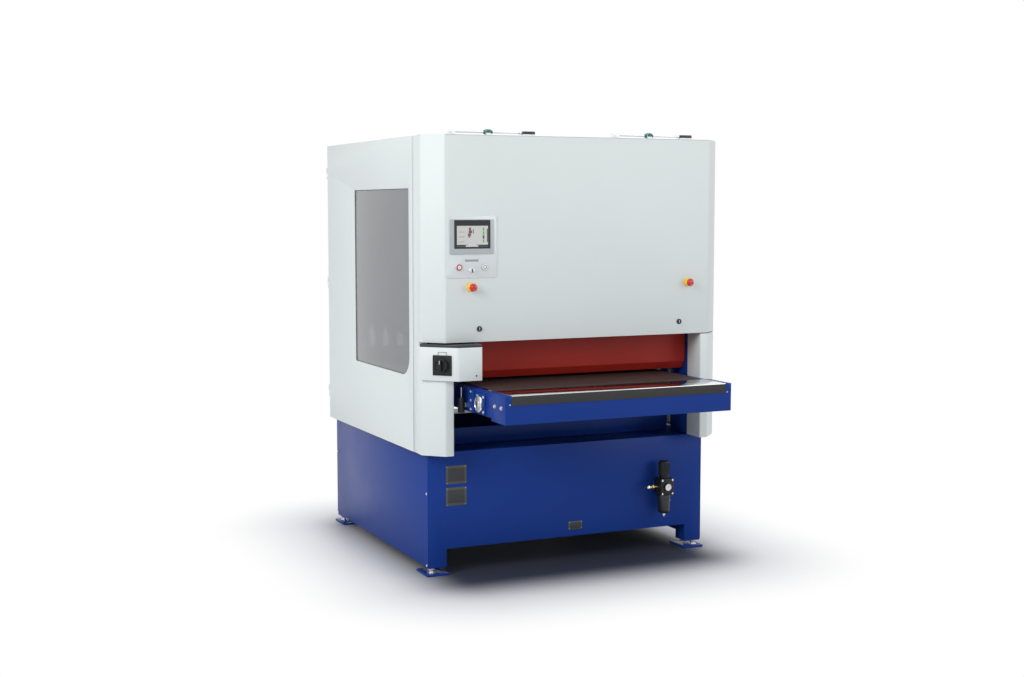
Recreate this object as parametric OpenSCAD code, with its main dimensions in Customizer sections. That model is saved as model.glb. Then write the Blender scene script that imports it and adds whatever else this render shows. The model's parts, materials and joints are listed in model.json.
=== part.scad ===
// Through-feed deburring machine for sheet metal: a welded base and portal in white cladding,
// a lift-up front hood with the controls, a belt conveyor table on four lifting columns,
// an abrasive belt unit and a planetary brush unit that crosses the working width.
// Millimetres. +X to the right, +Y towards the outfeed, +Z up. The origin is on the floor,
// at the centre of the four anchor holes.

/* [Working width and heights] */
// Width of the conveyor belt, which is the working width
belt_w = 1070; // [900:10:1300]
// Height of the belt surface above the floor
belt_top = 885; // [850:1:950]
// Height of the cladding's lower edge, which is the top of the base
skirt_z = 571; // [500:1:600]
// Height of the hood's lower edge
hood_bottom = 1083; // [1060:1:1150]
// Height of the cladding's top
cab_top = 2009; // [1900:1:2200]
// Gap between the belt and the working heads at rest
head_gap = 12; // [11:0.5:30]

/* [Base] */
// Depth of the base
base_d = 1334; // [1250:2:1600]
// Gap between the floor and the legs
foot_gap = 34; // [28:1:60]
// Height of the forklift gap under the end panels
fork_z = 120; // [80:1:180]
// Width of a leg
leg_w = 86; // [70:1:100]
// Thickness of the end panels of the base
end_panel_t = 4; // [3:0.5:6]
// Thickness of the side covers of the base
side_cover_t = 3; // [2:0.5:4]
// Wall of the base frame's tubes and sills
base_wall = 6; // [4:0.5:8]
// Height of the sills
sill_h = 80; // [60:1:100]
// Depth of the deck at either end of the base
deck_d = 182; // [170:1:240]

/* [Portal] */
// Width of a column
col_w = 84; // [70:1:110]
// Depth of a column
col_d = 160; // [130:1:170]
// Wall of the columns and beams
col_wall = 8; // [5:0.5:12]
// Height of the top beams
beam_h = 80; // [60:1:110]
// Free space between the conveyor's side and the columns
run_gap = 75; // [70:1:110]

/* [Cladding] */
// Thickness of the cladding sheet
sheet_t = 3; // [2:0.5:4]
// Stand-off of the cladding from the columns
standoff = 41; // [36:1:70]
// Seam between neighbouring panels
seam = 4; // [3:0.5:6]
// Distance of the hood's front in front of the base
hood_overhang = 118; // [100:1:160]
// Chamfer of the hood's front corners
hood_chamfer = 83; // [50:1:90]
// Side flange of the hood behind the chamfer
hood_flange = 45; // [35:1:60]
// Width of the recessed strip between the hood and the side panels
strip_w = 61; // [30:1:80]
// Width of the front face of a post cover
post_face = 42; // [30:1:60]

/* [Conveyor] */
// Distance of the table's front in front of the hood
table_ahead = 387; // [320:1:460]
// Depth of the front beam
beam_d = 150; // [110:1:170]
// Height of the front beam
front_beam_h = 123; // [100:1:130]
// Radius of the conveyor rollers
roller_r = 61.2; // [50:0.1:65]
// Thickness of the conveyor belt
belt_t = 2.5; // [2:0.5:4]
// Distance of the front roller's axis in front of the hood
idler_ahead = 139; // [120:1:150]
// Distance of the rear roller's axis behind the base
outfeed_reach = 193; // [160:1:300]
// Width of the conveyor's side rail
rail_w = 30; // [24:1:40]
// Thickness of the conveyor's side plate
rail_t = 8; // [6:0.5:12]
// Lowering travel of the table
lift_down = 100; // [60:1:110]

/* [Heads] */
// Radius of the contact drum
drum_r = 100; // [80:1:110]
// Radius of the tension roller
tension_r = 70; // [55:1:80]
// Radius of the rotor of the brush unit
rotor_r = 185; // [170:1:200]
// Pitch radius of the brush discs on the rotor
disc_pitch = 140; // [120:1:150]
// Radius of a brush disc
disc_r = 90; // [70:1:92]
// Length of the bristles
bristle_h = 53; // [35:1:60]
// Radius of the pressure rollers
press_r = 30; // [22:1:36]

/* [Hidden] */
$fn = 64;

// Facets of a belt on each of its rollers, and of a rounded sheet corner
belt_steps = 48;
corner_steps = 12;

// Overrun of every cut, and the clearances of moving fits
over = 1;
running = 0.05;
apart = 0.3;

// Colours, as the photograph shows them
white_paint = [0.88, 0.91, 0.9];
blue_paint = [0.12, 0.23, 0.52];
guard_red = [0.48, 0.12, 0.11];
dark_grey = [0.27, 0.28, 0.29];
black_part = [0.09, 0.09, 0.09];
zinc = [0.72, 0.73, 0.74];
steel = [0.62, 0.63, 0.65];
belt_brown = [0.27, 0.23, 0.22];
signal_red = [0.75, 0.08, 0.08];
signal_yellow = [0.93, 0.78, 0.1];

// Widths, from the belt outwards to the cladding
belt_edge = 5;
belt_half = belt_w / 2;
nose_half = belt_half + belt_edge;
conv_half = nose_half + rail_w;
col_in = conv_half + run_gap;
col_out = col_in + col_w;
half_w = col_out + standoff;
skin_in = half_w - sheet_t;

// Depths
base_front = -base_d / 2;
base_back = base_d / 2;
front_y = base_front - hood_overhang;
hood_back = front_y + hood_chamfer + hood_flange;
side_front = hood_back + strip_w;
rear_inset = 5;
rear_y = base_back - rear_inset;
rear_in = rear_y - sheet_t;
side_back = rear_in - seam;
panel_flange = 27;
roof_z = cab_top - sheet_t;
beam_z = roof_z - beam_h;

// Base
base_in = col_out - side_cover_t;
end_in = base_back - end_panel_t;
leg_x = base_in - leg_w;
leg_y = end_in - leg_w;
pad_t = 12;
cover_lift = 6;
fork_side = 92;
sill_top = fork_z + sill_h;
deck_edge = base_front + deck_d;

// Feet
foot_plate = [110, 145, 10];
foot_bolt_r = 10;
foot_bolt_in = 24;
foot_nut_r = 17;
foot_nut_h = 12;
foot_anchor_r = 9;
foot_anchor_in = 20;
foot_x = base_in - leg_w / 2;
foot_y = leg_y - foot_anchor_in * 2 + foot_plate[1] / 2;
anchor_y = leg_y - foot_anchor_in;
bolt_up = 26;

// Side cover screws
screw_r = 6;
screw_h = 3;
screw_in = 14;
screw_z = [foot_gap + screw_in, foot_gap + (skirt_z - foot_gap) * 5 / 8];

// Inner panel of the portal, beside and under the conveyor
inner_panel_t = 4;
inner_panel_low = 79;
inner_panel_horn = 40;
inner_panel_gap = 5;

// Conveyor
run_clear = 0.3;
belt_in_r = roller_r + run_clear;
belt_out_r = belt_in_r + belt_t;
roller_z = belt_top - belt_out_r;
idler_y = front_y - idler_ahead;
drive_y = base_back + outfeed_reach;
conv_front = front_y - table_ahead;
beam_back = conv_front + beam_d;
nose_t = 4;
nose_drop = 1;
beam_top = belt_top - nose_drop - nose_t;
beam_bottom = beam_top - front_beam_h;
rail_drop = 108;
rail_bottom = beam_top - rail_drop;
rail_lip = 8;
rail_past = 75;
rail_back = drive_y + rail_past;
beam_wall = 5;
strip_h = 40;
strip_t = 2;
slide_plate_t = 4;
slide_top = belt_top - belt_t;
slide_gap = 12;
cross_w = 60;
cross_h = 78;
cross_shares = [0.12, 0.37, 0.63, 0.88];
shaft_r = 15;
shaft_hole_r = 22;
bearing_s = 90;
bearing_t = 8;
bearing_boss_r = 32;
bearing_boss_h = 5;
bearing_bolt_r = 6;
bearing_bolt_h = 4;
disc_end_r = 38;
disc_end_t = 9;
beam_bolt_r = 8;
beam_bolt_h = 7;
beam_bolt_in = [39, 108];
tie_plate = [6, 66, 104];
tie_ahead = 27;
sensor_r = 16;
sensor_h = 68;
sensor_out = 14;
sensor_feeler_r = 2.5;
sensor_feeler_h = 46;
sensor_behind = 25;
sensor_y = front_y + sensor_behind;
gearbox_s = 120;
gearbox_w = 86;
gear_motor_r = 58;
gear_motor_h = 190;

// Lifting columns under the table
lift_x = (conv_half + col_in) / 2;
lift_y = 330;
lift_rod_r = 18;
lift_tube_r = 30;
lift_flange_r = 42;
lift_flange_t = 12;
lift_lug_d = 80;
lift_lug_h = 28;
lift_lug_out = 17;
lift_clear = 32;
lift_tube_top = rail_bottom - lift_down - lift_clear;
lift_rod_in = 220;

// Infeed guard
guard_t = 3;
guard_over = 10;
guard_top_z = hood_bottom + guard_over;
guard_in = 19;
guard_y = base_front + guard_in;
guard_side = 5;
guard_rod_r = 5;
guard_pin_in = 5;
guard_rod_y = guard_y + guard_t / 2;
guard_fold_up = 50;
guard_fold_z = belt_top + guard_fold_up;
guard_low_up = 14;
guard_low_z = belt_top + guard_low_up;
guard_lip = 25;

// Heads
head_z = belt_top + head_gap;
plate_t = 12;
plate_in = col_in - plate_t;
plate_lap = 38;
plate_front = base_front + col_d - plate_lap;
plate_back = rear_in - col_d + plate_lap;
plate_up = 8;
plate_low = head_z + plate_up;
head_plate_h = 495;
plate_high = plate_low + head_plate_h;
press_in = 45;
press_front_y = plate_front + press_in;
press_back_y = plate_back - press_in;
press_z = head_z + press_r;
press_past = 25;
press_half = belt_half + press_past;
press_shaft_r = 10;
drum_behind = 200;
drum_y = press_front_y + drum_behind;
sand_t = 1.5;
drum_z = head_z + drum_r + run_clear + sand_t;
drum_past = 15;
drum_half = belt_half + drum_past;
drum_shaft_r = 25;
tension_shaft_r = 20;
tension_drop = 326;
tension_z = beam_z - tension_drop;
tower_half = 100;
tower_over = 100;
pulley_w = 40;
pulley_gap = 27;
pulley_x = col_in + pulley_gap;
drum_pulley_r = 90;
motor_pulley_r = 70;
vee_t = 8;
vee_w = 32;
motor_r = 105;
motor_len = 400;
motor_gap = 30;
motor_in = 135;
motor_y = plate_back - motor_in;
motor_up = 403;
motor_z = head_z + motor_up;
motor_shaft_r = 19;
motor_shaft_in = 60;
motor_foot_h = 108;
motor_plate_t = 12;
motor_plate_d = 190;
shaft_past = 4;
tie_s = 60;
tie_up = 403;
tie_z = head_z + tie_up;
lever_behind = 124;
lever_up = 196;
brush_lever_behind = 67;
brush_lever_up = 172;
lever_len = 90;
lever_ball_r = 16;
lever_hub_r = 16;
lever_w = 8;
lever_shaft_r = 10;
lever_hub_h = 28;
view_hole_r = 60;

// Brush unit
rotor_y = (drum_y + drum_r + press_back_y - press_r) / 2;
disc_plate_t = 15;
disc_gap = 13;
disc_stem_r = 12;
bristle_bore_r = 40;
rotor_t = 22;
rotor_z = head_z + bristle_h + disc_plate_t + disc_gap;
rotor_shaft_r = 25;
rotor_shaft_h = 140;
housing_gap = 10;
housing_r = 55;
carriage_up = 293;
carriage_z = head_z + carriage_up;
carriage_h = 100;
carriage_half = 140;
carriage_d = 150;
rail_bar_r = 20;
rail_bar_off = 105;
spin_motor_r = 95;
spin_motor_h = 180;

// Places of the two ball-ended levers, in Y and Z
lever_places = [[drum_y + lever_behind, head_z + lever_up],
    [rotor_y + brush_lever_behind, head_z + brush_lever_up]];

// Hood and its hinges
hinge_apart = 422;
hinge_aside = 2;
hinge_x = [hinge_aside - hinge_apart, hinge_aside + hinge_apart];
hinge_in = 17;
hinge_y = base_front + hinge_in;
hinge_over = 20;
hinge_z = cab_top + hinge_over;
rod_r = 5;
rod_from = 180;
rod_to = 235;
bracket_w = 50;
bracket_from = 215;
bracket_half_d = 15;
bracket_over = 4;
clamp_w = 62;
bush_r = 8.5;
bush_half = 22;
arm_half = 12;
arm_r = 13;
arm_front = 60;
arm_foot_t = 5;
hood_return = 20;

// Controls on the hood
face_half = half_w - hood_chamfer;
plate_edge = 5;
plate_w = 245;
plate_x = -face_half + plate_edge + plate_w / 2;
plate_low_z = 1372;
plate_h = 277;
plate_thick = 3;
plate_corner_r = 14;
panel_w = 214;
panel_h = 155;
panel_up = 107;
panel_low_z = plate_low_z + panel_up;
panel_t = 6;
panel_body_in = 11;
panel_body_d = 42;
panel_fit = 1;
button_r = 13;
button_t = 3.5;
button_travel = 4;
button_ring_r = 16;
button_ring_h = 6;
button_stem_r = 4;
button_stem_hole = 6;
button_in = 62;
button_up = 48;
button_z = plate_low_z + button_up;
key_up = 34;
key_z = plate_low_z + key_up;
key_r = 13;
key_h = 9;
key_stem_r = 8;
key_bit = [4, 7, 18];
stem_len = 20;
stop_aside = 3.5;
stop_edge = 121;
stop_x = [plate_x - stop_aside, face_half - stop_edge];
stop_z = 1330;
stop_collar_r = 21;
stop_collar_h = 20;
stop_head_r = 18;
stop_head_h = 13;
stop_travel = 5;
stop_stem_r = 8;
latch_edge = 165;
latch_x = face_half - latch_edge;
latch_up = 59;
latch_z = hood_bottom + latch_up;
latch_r = 12.5;
latch_h = 6;
latch_stem_r = 7;
latch_slot = [4, 3, 16];
latch_cam = [12, 4, 40];

// Switch box at the left post
box_proud = 17;
box_ahead = 60;
box_reach = 113;
box_under = 18;
box_top = hood_bottom - box_under;
box_h = 150;
box_low = box_top - box_h;
lip_h = 12;
box_back_gap = 8;
switch_s = 91;
switch_t = 6;
switch_out = 110;
switch_up = 70;
switch_z = box_low + switch_up;
knob_r = 31;
knob_h = 20;
knob_grip = [14, 11, 54];
knob_stem_r = 8;
knob_stem_in = 12;

// Side door and window
window_in = 46;
window_w = 764;
window_front = side_front + window_in;
window_back = window_front + window_w;
window_low = 916;
window_high = 1773;
window_r = 90;
window_small_r = 8;
window_lap = 15;
window_t = 5;
hinge_pin_r = 4;
hinge_knuckle_r = 7;
hinge_off = [8, 9];
hinge_half_h = 30;
hinge_gap = 1;
hinge_leaf_w = 35;
hinge_leaf_t = 4;
hinge_shares = [0.1, 0.5, 0.9];
door_axis = [-half_w + hinge_off[0], rear_y + hinge_off[1]];

// Roof spigots
spigot_x = 300;
spigot_y = 300;
spigot_r = 80;
spigot_wall = 2;
spigot_h = 50;

// Service unit and plates on the base front
unit_edge = 246;
unit_x = col_out - unit_edge;
unit_ahead = 58;
unit_z = 294;
unit_s = [74, 70, 82];
unit_bracket = [46, 50];
bowl_r = 33;
bowl_h = 94;
drain_r = 8;
drain_h = 14;
neck_r = 22;
neck_h = 10;
spindle_r = 10;
spindle_h = 54;
reg_knob_r = 28;
reg_knob_h = 73;
inlet_r = 12;
inlet_bore_r = 7.5;
inlet_len = 61;
inlet_depth = 20;
gauge_r = 20;
gauge_h = 10;
plate_thin = 1.5;
label_w = 102;
label_h = 85;
label_edge = 141;
label_x = label_edge - col_out;
label_z = [362, 463];
small_label = [73, 40];
small_label_x = 28;
small_label_z = 171;

// A block from its low corner to its high corner
module block(low, high) {
    translate(low) cube(high - low);
}

// The same shape on the left and the right
module both_sides() {
    children();
    mirror([1, 0, 0]) children();
}

// A round bar along X, Y or Z, starting at a point
module bar_x(from, len, r) {
    translate(from) rotate([0, 90, 0]) cylinder(h = len, r = r);
}

module bar_y(from, len, r) {
    translate(from) rotate([-90, 0, 0]) cylinder(h = len, r = r);
}

module bar_z(from, len, r) {
    translate(from) cylinder(h = len, r = r);
}

// A profile in Y and Z, extruded along X from x0 over len
module along_x(x0, len) {
    translate([x0, 0, 0]) rotate([90, 0, 90]) linear_extrude(height = len) children();
}

// The sheet's outline along a folded path, with its thickness to the left of the path
function left_normal(a, b) = let (d = (b - a) / norm(b - a)) [-d[1], d[0]];
function mitred(p, i, t) =
    i == 0 ? p[0] + t * left_normal(p[0], p[1]) :
    i == len(p) - 1 ? p[i] + t * left_normal(p[i - 1], p[i]) :
    let (m = left_normal(p[i - 1], p[i]) + left_normal(p[i], p[i + 1])) p[i] + t * m * 2 / (m * m);
function folded(p, t) = concat(p, [for (i = [len(p) - 1:-1:0]) mitred(p, i, t)]);

// The outline of a belt that runs round two circles
function arc(c, r, from, to) = [for (k = [0:belt_steps])
    c + r * [cos(from + (to - from) * k / belt_steps), sin(from + (to - from) * k / belt_steps)]];
function belt_line(c1, r1, c2, r2) = let (d = c2 - c1, base = atan2(d[1], d[0]),
    swing = acos((r1 - r2) / norm(d)))
    concat(arc(c1, r1, base + swing, base + 360 - swing), arc(c2, r2, base - swing, base + swing));

// The section of a belt: its inner face lies the running gap off both circles
module belt_section(c1, r1, c2, r2, t) {
    widen = 1 / cos(180 / belt_steps);
    difference() {
        polygon(belt_line(c1, r1 + run_clear + t, c2, r2 + run_clear + t));
        polygon(belt_line(c1, (r1 + run_clear) * widen, c2, (r2 + run_clear) * widen));
    }
}

// A rectangle whose corners have the radii [low left, low right, high right, high left]
module rounded(low, high, r) {
    c = [low + [r[0], r[0]], [high[0] - r[1], low[1] + r[1]], high - [r[2], r[2]],
        [low[0] + r[3], high[1] - r[3]]];
    polygon([for (i = [0:3], k = [0:corner_steps]) let (a = 180 + 90 * (i + k / corner_steps))
        c[i] + r[i] * [cos(a), sin(a)]]);
}

// A channel of a sill or beam: a block that is open on one side
module channel(low, high, wall, open) {
    difference() {
        block(low, high);
        block([for (i = [0:2]) open[i] < 0 ? low[i] - over : low[i] + (open[i] == 2 ? -over : wall)],
            [for (i = [0:2]) open[i] == 1 ? high[i] + over : high[i] - (open[i] == 2 ? -over : wall)]);
    }
}

// Base
module base_leg() {
    difference() {
        block([leg_x, leg_y, foot_gap], [base_in, end_in, skirt_z - base_wall]);
        block([leg_x + base_wall, leg_y + base_wall, foot_gap + pad_t],
            [base_in - base_wall, end_in - base_wall, skirt_z]);
        bar_z([base_in - foot_bolt_in, end_in - foot_bolt_in, foot_gap - over], pad_t + over * 2,
            foot_bolt_r + running);
    }
}

module base_frame() {
    color(blue_paint) {
        both_sides() {
            for (m = [0, 1]) mirror([0, m, 0]) base_leg();
            channel([leg_x, -leg_y, fork_z], [base_in, leg_y, sill_top], base_wall, [-1, 2, 0]);
        }
        for (m = [0, 1]) mirror([0, m, 0])
            channel([-leg_x, lift_y - sill_h / 2, fork_z], [leg_x, lift_y + sill_h / 2, sill_top],
                base_wall, [2, 0, -1]);
        difference() {
            block([-base_in, -end_in, skirt_z - base_wall], [base_in, end_in, skirt_z]);
            block([-leg_x, deck_edge + inner_panel_t, skirt_z - base_wall - over],
                [leg_x, -deck_edge - inner_panel_t, skirt_z + over]);
        }
    }
}

module base_end_panels() {
    color(blue_paint) for (m = [0, 1]) mirror([0, m, 0]) difference() {
        block([-base_in, base_front, foot_gap], [base_in, base_front + end_panel_t, skirt_z]);
        block([-col_out + fork_side, base_front - over, foot_gap - over],
            [col_out - fork_side, base_front + end_panel_t + over, fork_z]);
    }
}

module base_side_covers() {
    color(blue_paint) both_sides()
        block([base_in, base_front, foot_gap + cover_lift], [col_out, base_back, skirt_z]);
}

module cover_screws() {
    color(zinc) both_sides() for (y = [base_front + screw_in, base_back - screw_in], z = screw_z)
        bar_x([col_out, y, z], screw_h, screw_r);
}

module levelling_feet() {
    color(zinc) both_sides() for (m = [0, 1]) mirror([0, m, 0]) {
        difference() {
            block([foot_x - foot_plate[0] / 2, foot_y - foot_plate[1] / 2, 0],
                [foot_x + foot_plate[0] / 2, foot_y + foot_plate[1] / 2, foot_plate[2]]);
            bar_z([foot_x, anchor_y, -over], foot_plate[2] + over * 2, foot_anchor_r);
        }
        translate([base_in - foot_bolt_in, end_in - foot_bolt_in, 0]) {
            cylinder(h = foot_gap + bolt_up, r = foot_bolt_r);
            translate([0, 0, foot_gap - foot_nut_h]) cylinder(h = foot_nut_h, r = foot_nut_r, $fn = 6);
        }
    }
}

// Portal of four columns with top beams, and the panel behind the conveyor's front
module column(low_y, high_y) {
    difference() {
        block([col_in, low_y, skirt_z], [col_out, high_y, roof_z]);
        block([col_in + col_wall, low_y + col_wall, skirt_z - over],
            [col_out - col_wall, high_y - col_wall, roof_z - col_wall]);
    }
}

module portal_frame() {
    color(blue_paint) {
        both_sides() {
            difference() {
                column(base_front, base_front + col_d);
                bar_x([col_in - over, guard_rod_y, guard_top_z], over + guard_pin_in + over,
                    guard_rod_r + running);
            }
            column(rear_in - col_d, rear_in);
            channel([col_in, base_front + col_d, beam_z], [col_out, rear_in - col_d, roof_z],
                col_wall, [-1, 2, 0]);
        }
        channel([-col_in, base_front, beam_z], [col_in, base_front + beam_h, roof_z],
            col_wall, [2, 1, 0]);
        channel([-col_in, rear_in - beam_h, beam_z], [col_in, rear_in, roof_z],
            col_wall, [2, -1, 0]);
        difference() {
            block([-col_in + inner_panel_gap, deck_edge, skirt_z],
                [col_in - inner_panel_gap, deck_edge + inner_panel_t, belt_top + inner_panel_gap]);
            block([-col_in + inner_panel_gap + inner_panel_horn, deck_edge - over,
                skirt_z + inner_panel_low], [col_in - inner_panel_gap - inner_panel_horn,
                deck_edge + inner_panel_t + over, belt_top + inner_panel_gap + over]);
        }
    }
}

// White covers in front of the columns, with the recessed strips beside the hood
module post_cover(top) {
    post = [[col_in, base_front], [col_in, front_y], [half_w - hood_chamfer, front_y],
        [half_w, front_y + hood_chamfer], [half_w, hood_back]];
    strip_x = skin_in - sheet_t * 2;
    translate([0, 0, skirt_z]) {
        linear_extrude(height = top - skirt_z) {
            polygon(folded(post, sheet_t));
            translate([strip_x, hood_back - sheet_t]) square([half_w - strip_x, sheet_t]);
        }
        linear_extrude(height = roof_z - skirt_z) {
            translate([col_out, hood_back - sheet_t * 2])
                square([strip_x + sheet_t - col_out, sheet_t]);
            translate([strip_x, hood_back - sheet_t * 2])
                square([sheet_t, side_front - seam / 2 - hood_back + sheet_t * 2]);
        }
    }
}

module post_covers() {
    color(white_paint) {
        post_cover(hood_bottom - seam);
        mirror([1, 0, 0]) post_cover(box_top);
    }
}

// Plan of the switch box: it wraps the left post and stands proud of it
box_step = box_proud / sqrt(2);
box_front = front_y - box_ahead;
box_right = -col_in + box_reach;
box_back = base_front - box_back_gap;
box_bend = -half_w + front_y + hood_chamfer - box_step * 2 - box_front;
box_outer = [[-half_w, front_y + hood_chamfer],
    [-half_w - box_step, front_y + hood_chamfer - box_step],
    [box_bend, box_front], [box_right, box_front], [box_right, box_back], [-col_in, box_back]];
box_plan = concat(box_outer, [[-col_in, front_y], [-half_w + hood_chamfer, front_y]]);
switch_at = [-half_w - box_step + switch_out * sqrt(2) - switch_out * sqrt(2) / 2,
    front_y + hood_chamfer - box_step - switch_out * sqrt(2) / 2];

// Turns a shape whose front looks along -Y to the slanted face of the switch box
module on_slant() {
    translate([switch_at[0], switch_at[1], switch_z]) rotate([0, 0, -45]) children();
}

module switch_box() {
    color(white_paint) difference() {
        union() {
            translate([0, 0, box_low]) linear_extrude(height = sheet_t) polygon(box_plan);
            translate([0, 0, box_low]) linear_extrude(height = box_top - box_low)
                polygon(folded(box_outer, sheet_t));
        }
        on_slant() bar_y([0, -over, 0], sheet_t + over * 2, knob_stem_r + over);
    }
}

module switch_box_lip() {
    color(dark_grey) translate([0, 0, box_top]) linear_extrude(height = lip_h) polygon(box_plan);
}

module main_switch_plate() {
    color(black_part) on_slant() difference() {
        block([-switch_s / 2, -switch_t, -switch_s / 2], [switch_s / 2, 0, switch_s / 2]);
        bar_y([0, -switch_t - over, 0], switch_t + over * 2, knob_stem_r + running);
    }
}

module main_switch_knob() {
    color(black_part) on_slant() translate([0, -switch_t - apart, 0]) {
        bar_y([0, -knob_h, 0], knob_h, knob_r);
        block([-knob_grip[0] / 2, -knob_h - knob_grip[1], -knob_grip[2] / 2],
            [knob_grip[0] / 2, -knob_h, knob_grip[2] / 2]);
        bar_y([0, 0, 0], apart + switch_t + knob_stem_in, knob_stem_r);
    }
}

// Side panels: the right one is fixed, the left one is the door
module side_skin(flange_in) {
    block([skin_in, side_front, skirt_z], [half_w, side_back, cab_top]);
    for (y = [side_front, side_back - sheet_t])
        block([flange_in, y, skirt_z], [skin_in, y + sheet_t, roof_z]);
    for (z = [skirt_z, roof_z])
        block([skin_in - panel_flange, side_front, z], [skin_in, side_back, z + sheet_t]);
}

module side_panel_right() {
    color(white_paint) side_skin(col_out);
}

module window_outline(grow) {
    rounded([window_front - grow, window_low - grow], [window_back + grow, window_high + grow],
        [window_r + grow, window_small_r + grow, window_small_r + grow, window_small_r + grow]);
}

hinge_levels = [for (s = hinge_shares) skirt_z + (cab_top - skirt_z) * s];

module side_door() {
    color(white_paint) {
        difference() {
            mirror([1, 0, 0]) side_skin(skin_in - panel_flange);
            along_x(-half_w - over, sheet_t + over * 2) window_outline(0);
        }
        for (z = hinge_levels) difference() {
            union() {
                bar_z([door_axis[0], door_axis[1], z + hinge_gap], hinge_half_h - hinge_gap,
                    hinge_knuckle_r);
                block([-half_w, side_back - sheet_t, z + hinge_gap],
                    [-skin_in, door_axis[1], z + hinge_half_h]);
            }
            bar_z([door_axis[0], door_axis[1], z - over], hinge_half_h + over * 2,
                hinge_pin_r + running);
        }
    }
}

module side_window() {
    color([0.45, 0.48, 0.5]) along_x(-skin_in, window_t) window_outline(window_lap);
}

module door_hinges() {
    color(zinc) for (z = hinge_levels) {
        bar_z([door_axis[0], door_axis[1], z - hinge_half_h], hinge_half_h * 2, hinge_pin_r);
        bar_z([door_axis[0], door_axis[1], z - hinge_half_h], hinge_half_h - hinge_gap,
            hinge_knuckle_r);
        block([door_axis[0], rear_y, z - hinge_half_h],
            [door_axis[0] + hinge_knuckle_r * 2, door_axis[1], z - hinge_gap]);
        block([door_axis[0] + hinge_knuckle_r * 2, rear_y, z - hinge_half_h],
            [door_axis[0] + hinge_knuckle_r * 2 + hinge_leaf_w, rear_y + hinge_leaf_t,
            z + hinge_half_h]);
    }
}

module rear_panel() {
    color(white_paint) difference() {
        block([-skin_in + seam, rear_in, skirt_z], [skin_in - seam, rear_y, cab_top]);
        block([-col_in, rear_in - over, skirt_z - over], [col_in, rear_y + over, hood_bottom]);
    }
}

module roof_panel() {
    roof_half = skin_in - panel_flange - seam;
    color(white_paint) difference() {
        union() {
            block([-roof_half, base_front, roof_z], [roof_half, rear_in, cab_top]);
            both_sides() bar_z([spigot_x, spigot_y, roof_z], sheet_t + spigot_h, spigot_r);
        }
        both_sides() bar_z([spigot_x, spigot_y, roof_z - over], sheet_t + spigot_h + over * 2,
            spigot_r - spigot_wall);
    }
}

// Hinges of the hood: a steel rod in two brackets on the roof runs in a bush on the hood
module hood_hinges() {
    color(zinc) for (x = hinge_x) translate([x, hinge_y, 0]) {
        bar_x([-rod_from, 0, hinge_z], rod_to + rod_from, rod_r);
        block([-bracket_from, -bracket_half_d, cab_top],
            [bracket_w - bracket_from, bracket_half_d, hinge_z + rod_r + bracket_over]);
        block([rod_to - clamp_w, -bracket_half_d, cab_top],
            [rod_to, bracket_half_d, hinge_z + rod_r + sheet_t]);
    }
}

module hinge_bushes() {
    color([0.15, 0.45, 0.42]) for (x = hinge_x) translate([x, hinge_y, hinge_z]) difference() {
        bar_x([-bush_half, 0, 0], bush_half * 2, bush_r);
        bar_x([-bush_half - over, 0, 0], (bush_half + over) * 2, rod_r + running);
    }
}

hood_path = [[-half_w, hood_back], [-half_w, front_y + hood_chamfer],
    [-half_w + hood_chamfer, front_y], [half_w - hood_chamfer, front_y],
    [half_w, front_y + hood_chamfer], [half_w, hood_back]];

module hood_arm() {
    difference() {
        union() {
            bar_x([-arm_half, hinge_y, hinge_z], arm_half * 2, arm_r);
            block([-arm_half, hinge_y - arm_front, roof_z],
                [arm_half, base_front - seam, cab_top + arm_foot_t]);
            along_x(-arm_half, arm_half * 2) polygon([[hinge_y - arm_front, cab_top],
                [base_front - seam, cab_top], [hinge_y, hinge_z - arm_r],
                [hinge_y, hinge_z], [hinge_y - arm_r, hinge_z]]);
        }
        bar_x([-arm_half - over, hinge_y, hinge_z], (arm_half + over) * 2, bush_r + running);
        block([-arm_half - over, base_front - seam, cab_top - over],
            [arm_half + over, hinge_y + arm_r + over, hinge_z - arm_r]);
    }
}

module hood() {
    color(white_paint) difference() {
        union() {
            translate([0, 0, hood_bottom]) linear_extrude(height = cab_top - hood_bottom)
                polygon(folded(hood_path, sheet_t));
            translate([0, 0, roof_z]) linear_extrude(height = sheet_t)
                polygon([[-half_w, base_front - seam], [-half_w, front_y + hood_chamfer],
                    [-half_w + hood_chamfer, front_y], [half_w - hood_chamfer, front_y],
                    [half_w, front_y + hood_chamfer], [half_w, base_front - seam]]);
            block([-half_w + hood_chamfer, front_y, hood_bottom],
                [half_w - hood_chamfer, front_y + hood_return, hood_bottom + sheet_t]);
            for (x = hinge_x) translate([x, 0, 0]) hood_arm();
        }
        hood_holes(panel_body_in - panel_fit * 2, button_stem_hole, key_stem_r + over);
        for (x = stop_x) bar_y([x, front_y - over, stop_z], sheet_t + over * 2, stop_stem_r + over);
        for (x = [-latch_x, latch_x]) bar_y([x, front_y - over, latch_z], sheet_t + over * 2,
            latch_stem_r + running);
    }
}

// Holes behind the control plate: the touch panel's cut-out, two buttons and the key switch
module hood_holes(inset, button_hole, key_hole) {
    cut_y = front_y - plate_thick - over;
    cut_d = plate_thick + sheet_t + over * 2;
    block([plate_x - panel_w / 2 + inset, cut_y, panel_low_z + inset],
        [plate_x + panel_w / 2 - inset, cut_y + cut_d, panel_low_z + panel_h - inset]);
    for (s = [-1, 1]) bar_y([plate_x + s * button_in, cut_y, button_z], cut_d, button_hole);
    bar_y([plate_x, cut_y, key_z], cut_d, key_hole);
}

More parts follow.
